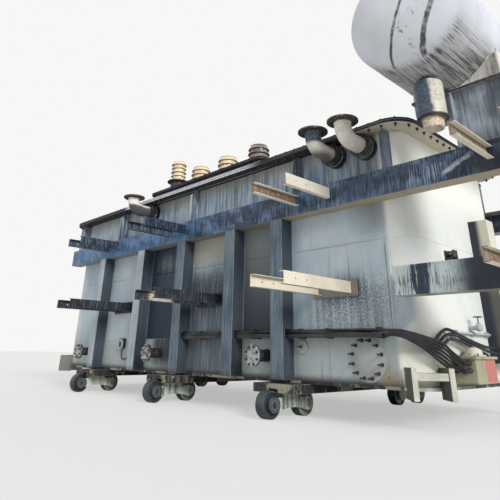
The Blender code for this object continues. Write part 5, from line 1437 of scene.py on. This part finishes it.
def buildGlandBox():
    # a box under a proud lid; a flanged dome, a profile carried round, is bolted on the lid
    wall, tip, lid = atX(lengthHalf - gland["sink"]), atX(lengthHalf + gland["reach"]), gland["lid"]
    front, back, high = gland["front"], gland["back"], gland["high"]
    top = high + lid
    box = Shape()
    box.add(*block((wall, front + lid, gland["low"]), (tip - lid, back - lid, high)))
    box.add(*block((wall, front, high - gland["sink"]), (tip, back, top)))
    build("gland_box", box, "gland_paint", bevel=gland["bevel"])
    r, flange, inset = gland["dome"], gland["domeFlange"], gland["boltInset"]
    middle = np.array([(wall + tip) / 2, (front + back) / 2, top])
    dome = Shape().grid(revolve([(r, -0.002), (r, flange - 0.004), (r - 0.004, flange),
                                 (r - 0.030, flange + 0.002),
                                 (r - 0.036, 0.045), (r - 0.050, 0.075), (r - 0.080, 0.098),
                                 (0.030, gland["domeHeight"])], 48, place=middle))
    build("gland_dome", dome, "gland_paint")
    domeRing = circle(middle + [0, 0, flange], upwards, r - 0.015, gland["domeBolts"])
    bolts("dome_bolts", domeRing, upwards, "lid")
    rows = [edge + way * off for edge, way in ((front, 1), (back, -1))
            for off in (inset, inset + gland["boltPitch"])]
    bolts("lid_bolts", [(x, y, top) for x in (wall + 0.05, tip - inset) for y in rows], upwards, "lid")


# Cables on the front wall, and round the near corner to the gland box
cables = {"left": -0.40, "right": 4.35, "out": 0.10, "height": 1.10, "radius": 0.017, "ring": 0.036,
          "stagger": 0.04,
          "tray": 0.17, "trayThick": 0.008, "trayLip": 0.050, "trayDrop": 0.055, "clipHalf": 0.020,
          "strapHalf": 0.014, "strapReach": 0.060, "strapLift": 0.046,
          "clips": (-0.30, 0.62, 2.00, 2.95, 3.45, 4.28)}
cableEnds = ((5.03, 0.750), (4.95, 0.755), (5.03, 0.665), (4.87, 0.745), (4.95, 0.655), (4.86, 0.660))
cableDown = (0.1, 0.2, 1.0)  # the fixed vector that the cables' tubes are turned by
glandProfile = ((0.034, 0), (0.034, 0.022), (0.027, 0.026), (0.027, 0.045), (0.020, 0.050))


def buildCables():
    # six cables twist slowly along the tray, spread as they fall past the corner and end in glands
    look = cables
    middle = -wallOut - look["out"]
    run, glands = Shape(), Shape()
    for number, (endX, endZ) in enumerate(cableEnds):
        x = np.linspace(look["left"] + look["stagger"] * (number % 3), look["right"], 40)
        angle = number * math.pi / 3 + 0.5 * np.sin(x * 1.3 + number) + x * 0.25
        y, z = middle + look["ring"] * np.cos(angle), look["height"] + look["ring"] * np.sin(angle)
        trunk = np.column_stack([x, y, z])
        spread = (number - 2.5) / 2.5
        fall = [(4.62, middle - 0.02, 1.075 - 0.035 * spread),
                (4.84, -1.56 - 0.05 * spread, 0.98 - 0.06 * spread),
                (4.93, -1.34 - 0.06 * spread, 0.87 - 0.10 * spread),
                (4.95, -1.12 - 0.04 * spread, 0.775 - 0.10 * spread),
                (endX, -0.95, endZ + 0.01), (endX, gland["front"] + gland["lid"], endZ)]
        path = np.vstack([trunk[:-1], smoothPath(np.vstack([trunk[-1], fall]), 60)])
        path[:, 0] += tankMiddle
        run.grid(tube(path, look["radius"], 10, cableDown))
        at = (atX(endX), gland["front"] + gland["lid"] + 0.0005, endZ)
        glands.grid(revolve(glandProfile, 12, (0, -1, 0), at))

    # the tray is an L section carried along the wall, with a clip below and a strap above at each place
    root, outer = -wallOut, -wallOut - look["tray"]
    thick, lip = look["trayThick"], look["trayLip"]
    low = look["height"] - look["trayDrop"] - thick / 2
    section = np.array([(root, low), (outer, low), (outer, low + lip), (outer + thick, low + lip),
                        (outer + thick, low + thick), (root, low + thick)])
    ends = (atX(look["left"]), atX(look["right"]))
    run.grid(np.stack([np.column_stack([np.full(len(section), x), section]) for x in ends]))
    for place in look["clips"]:
        for half, backY, frontY, lowZ, highZ in (
                (look["clipHalf"], outer - 0.004, root + 0.002, low - 0.012, low + 0.001),
                (look["strapHalf"], middle - look["strapReach"], middle + look["strapReach"],
                 look["height"] + look["strapLift"], look["height"] + look["strapLift"] + 0.014)):
            run.add(*block((atX(place - half), backY, lowZ), (atX(place + half), frontY, highZ)))
    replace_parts(build("cable_bundle", run, "cable", crease=math.radians(50)), "cable_run")
    build("cable_glands", glands, "turret")


# Small fittings on the walls
endCables = {"radius": 0.020, "paths": (
    ((4.82, -1.34, 0.94), (4.85, -1.24, 1.04), (4.87, -1.08, 1.13), (4.88, -0.90, 1.14), (4.90, -0.40, 1.03),
     (4.93, 0.05, 0.95), (4.95, 0.45, 0.93)),
    ((4.82, -1.28, 0.92), (4.86, -1.16, 1.01), (4.88, -1.02, 1.08), (4.90, -0.80, 1.08), (4.92, -0.35, 0.98),
     (4.94, 0.05, 0.90), (4.96, 0.40, 0.86)),
    ((4.82, -1.22, 0.90), (4.87, -1.10, 0.98), (4.89, -0.95, 1.03), (4.92, -0.70, 1.01), (4.94, -0.35, 0.92),
     (4.97, -0.05, 0.84), (4.96, -0.10, 0.76), (4.95, -0.22, 0.72)))}
conduit = {"x": 4.845, "z": 1.12, "from": -0.80, "to": 0.468, "radius": 0.016, "clips": (-0.62, -0.10, 0.40)}
hoseLoop = {"place": (4.86, -1.08, 1.03), "radius": 0.085, "thick": 0.011, "axis": (1, -0.35, 0)}


def addEndWallRuns(dark, pale):
    # tubes carried along straight, round and curved paths
    x, z, r = atX(conduit["x"]), conduit["z"], conduit["radius"]
    pale.grid(tube([(x, y, z) for y in np.linspace(conduit["from"], conduit["to"], 12)], r, 12, (1, 0, 0)))
    for y in conduit["clips"]:
        pale.add(*block((atX(lengthHalf - 0.001), y - 0.015, z - 0.035), (x + 0.006, y + 0.015, z + 0.035)))
    x, y, z = hoseLoop["place"]
    ring = circle((atX(x), y, z), hoseLoop["axis"], hoseLoop["radius"], 40)
    pale.grid(closedTube(ring, hoseLoop["thick"], 10, hoseLoop["axis"]), closeRows=True)
    for path in endCables["paths"]:
        placed = [(atX(px), py, pz) for px, py, pz in path]
        dark.grid(tube(smoothPath(placed, 90), endCables["radius"], 10, cableDown))


valve = {"place": (4.95, -0.13, 1.15), "wheelLift": 0.19, "wheel": 0.058, "rim": 0.0065, "spokes": 3,
         "spoke": 0.005,
         "pipe": 0.030, "pipeLift": 0.045, "root": 4.795, "bend": 4.87,
         "body": ((0.030, 0.0), (0.045, 0.010), (0.050, 0.045), (0.045, 0.080), (0.028, 0.090),
                  (0.028, 0.115),
                  (0.020, 0.120)),
         "stem": ((0.008, 0.11), (0.008, 0.20))}


def addValve(dark, pale):
    # body and stem are profiles carried round; the hand wheel is a closed tube on three spokes
    x, y, z = valve["place"]
    centre = np.array([atX(x), y, z])
    hub = centre + [0, 0, valve["wheelLift"]]
    pale.grid(revolve(valve["body"], 24, place=centre))
    dark.grid(revolve(valve["stem"], 10, place=centre))
    wheel = circle(hub, upwards, valve["wheel"], 32)
    dark.grid(closedTube(wheel, valve["rim"], 8, upwards), closeRows=True)
    for tip in wheel[::10][:valve["spokes"]]:
        dark.grid(tube([hub, (tip + hub) / 2, tip], valve["spoke"], 6, upwards))
    pipe = [(atX(place), y, z + valve["pipeLift"]) for place in (valve["root"], valve["bend"], x)]
    pale.grid(tube(pipe, valve["pipe"], 20, upwards))


gauge = {"x": -2.25, "z": 0.94, "low": (-0.10, 0.003, -0.07), "high": (0.13, -0.030, 0.12), "ring": 0.085,
         "ringThick": 0.024, "ringOut": 0.050, "tail": 0.012,
         "face": ((0.066, 0.0), (0.066, 0.045), (0.05, 0.050)),
         "tailPath": ((0.05, -0.03, -0.07), (0.07, -0.035, -0.20), (0.15, -0.04, -0.29), (0.30, -0.03, -0.26),
                      (0.42, -0.02, -0.24))}


def addGauge(dark, pale):
    # a dial in a round rim on a plate, with a tail of cable on a curve
    at = np.array([atX(gauge["x"]), -wallOut - 0.001, gauge["z"]])
    dark.add(*block(at + gauge["low"], at + gauge["high"]))
    rimPath = circle(at + [0, -gauge["ringOut"], 0], (0, -1, 0), gauge["ring"], 40)
    pale.grid(closedTube(rimPath, gauge["ringThick"], 12, (0, 1, 0)), closeRows=True)
    dark.grid(revolve(gauge["face"], 32, (0, -1, 0), at + [0, -0.005, 0]))
    dark.grid(tube(smoothPath(at + np.array(gauge["tailPath"]), 40), gauge["tail"], 8, (0, 1, 0)))


bracket = {"left": 5.36, "right": 5.48, "low": 1.88, "high": 1.99, "depth": 0.10, "thick": 0.018,
           "back": 0.075,
           "boltInset": 0.040, "boltDrop": 0.035, "bolt": ((0.013, 0), (0.013, 0.012), (0.010, 0.014))}


def addBracket(dark, pale):
    # a foot, two cheeks and a back plate, with two bolt heads
    left, right, low, high = (bracket[k] for k in ("left", "right", "low", "high"))
    outer, deep, back = -beltOut, bracket["depth"] - beltOut, bracket["back"] - beltOut
    dark.add(*block((atX(left), outer, low - 0.006), (atX(right), deep, low + 0.020)))
    for side in (left, right - bracket["thick"]):
        dark.add(*block((atX(side), outer, low), (atX(side + bracket["thick"]), deep, high)))
    dark.add(*block((atX(left), back, low), (atX(right), deep, high)))
    for place in (left + bracket["boltInset"], right - bracket["boltInset"]):
        at = (atX(place), back + 0.001, high - bracket["boltDrop"])
        pale.grid(revolve(bracket["bolt"], 6, (0, -1, 0), at))


def buildFittings():
    # all small fittings go into two meshes, a dark one and a pale one
    dark, pale = Shape(), Shape()
    for add in (addEndWallRuns, addValve, addGauge, addBracket):
        add(dark, pale)
    build("wall_cables", dark, "cable", crease=math.radians(50))
    build("wall_fittings", pale, "fitting", crease=math.radians(50))


# Members that keep their CAD shape get rounded, worn edges: finish, slot and width of the bevel
members = {"rib_": ("rib_paint", "tank_paint", 0.005), "belt_": ("oiled_paint", "oiled_paint", 0.003),
           "lower_beam_": ("oiled_paint", "oiled_paint", 0.003),
           "lower_arms_": ("arm_paint", "arm_paint", 0.003),
           "conservator_stand_": ("stand_paint", "drum_paint", 0.003),
           "bogie_": ("bogie_iron", "bogie_iron", 0.006),
           "skid_": ("base_paint", "base_paint", 0.004), "base_plate": ("base_paint", "base_paint", 0.004)}


def buildMembers():
    for node in sorted(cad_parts):
        for start, (finish, slot, width) in members.items():
            if node.startswith(start):
                softened(node, finish, width)


# Stage and lights
stage = {"floor": (0.80, 0.80, 0.79), "floorRough": 0.9, "floorSeen": (0.93, 0.93, 0.92), "floorGlow": 0.50,
         "floorHalf": 120.0, "back": (0.93, 0.93, 0.92535), "fill": 0.56}
lamps = {"key": {"power": 2.7, "soft": 22, "from": (0.93, -0.29, 0.44)},
         "side": {"power": 0.4, "soft": 60, "from": (-0.5, -0.8, 0.5)}}


def buildFloor():
    # the camera sees it partly lit by itself, so that it stays pale
    mesh, half = bpy.data.meshes.new("floor"), stage["floorHalf"]
    corners = [(-half, -half, 0), (half, -half, 0), (half, half, 0), (-half, half, 0)]
    mesh.from_pydata(corners, [], [(0, 1, 2, 3)])
    floor = bpy.data.objects.new("floor", mesh)
    bpy.context.scene.collection.objects.link(floor)
    g = Graph("paleFloor")
    g.feed(g.shader.inputs["Base Color"], stage["floor"])
    g.feed(g.shader.inputs["Roughness"], stage["floorRough"])
    seen = g.node("LightPath", out="Is Camera Ray") * stage["floorGlow"]
    glow = g.node("Emission", {"Color": stage["floorSeen"], "Strength": 1.0})
    mixed = g.node("MixShader", [seen, Wire(g, g.shader.outputs[0]), glow])
    g.feed(g.tree.nodes["Material Output"].inputs["Surface"], mixed)
    mesh.materials.append(g.material)


def buildWorld():
    # soft grey light all round; what is seen, mirrored or looked through is nearly white
    world = bpy.data.worlds.new("studio")
    world.use_nodes = True
    bpy.context.scene.world = world
    w = Nodes(world.node_tree)
    w.tree.nodes.clear()
    rays = ("Camera", "Glossy", "Transmission")
    camera, glossy, through = (w.node("LightPath", out=f"Is {ray} Ray") for ray in rays)
    lit = w.node("Background", {"Strength": stage["fill"]})
    seen = w.node("Background", {"Color": stage["back"]})
    mixed = w.node("MixShader", [camera.highest(glossy).highest(through), lit, seen])
    w.node("OutputWorld", {"Surface": mixed})


def buildLamps():
    # two broad suns, a strong one and a faint one
    for name, look in lamps.items():
        light = bpy.data.lights.new(name, "SUN")
        light.energy, light.angle = look["power"], math.radians(look["soft"])
        lamp = bpy.data.objects.new(name, light)
        lamp.rotation_euler = Vector(look["from"]).to_track_quat("Z", "Y").to_euler()
        bpy.context.scene.collection.objects.link(lamp)


finishes = {
    "tank_paint": tankFinish(),
    "rib_paint": ribFinish(),
    "oiled_paint": oilFinish(),
    "cover_paint": coverFinish(),
    "arm_paint": lowerArmFinish(),
    "drum_paint": drumFinish(),
    "stand_paint": standFinish(),
    "elbow_paint": elbowFinish(),
    "porcelain": porcelainFinish(),
    "turret": turretFinish(),
    "breather_paint": breatherFinish(),
    "roller_iron": rollerFinish(),
    "bogie_iron": bogieFinish(),
    "fitting": fittingFinish(),
    "base_paint": baseFinish(),
    "cable": cableFinish(),
    "bolt": boltFinish(),
    "gland_paint": glandFinish(),
    "worn": wornFinish(),
}
print("finishes ready:", len(finishes))

buildCamera()
buildTank()
buildTopFlange()
buildCover()
buildCoverBolts()
buildEndRibs()
buildGlandBox()
buildCables()
buildFittings()
print("tank, flange, cover, gland box and cables made")
buildBushings()
buildDrum()
buildBreather()
buildElbows()
buildPorts()
print("bushings, drum, elbows and ports made")
buildRollers()
buildMembers()
print("members and rollers made")
buildFloor()
buildWorld()
buildLamps()
bpy.context.scene.view_settings.view_transform = "Standard"
print("stage and lights ready")
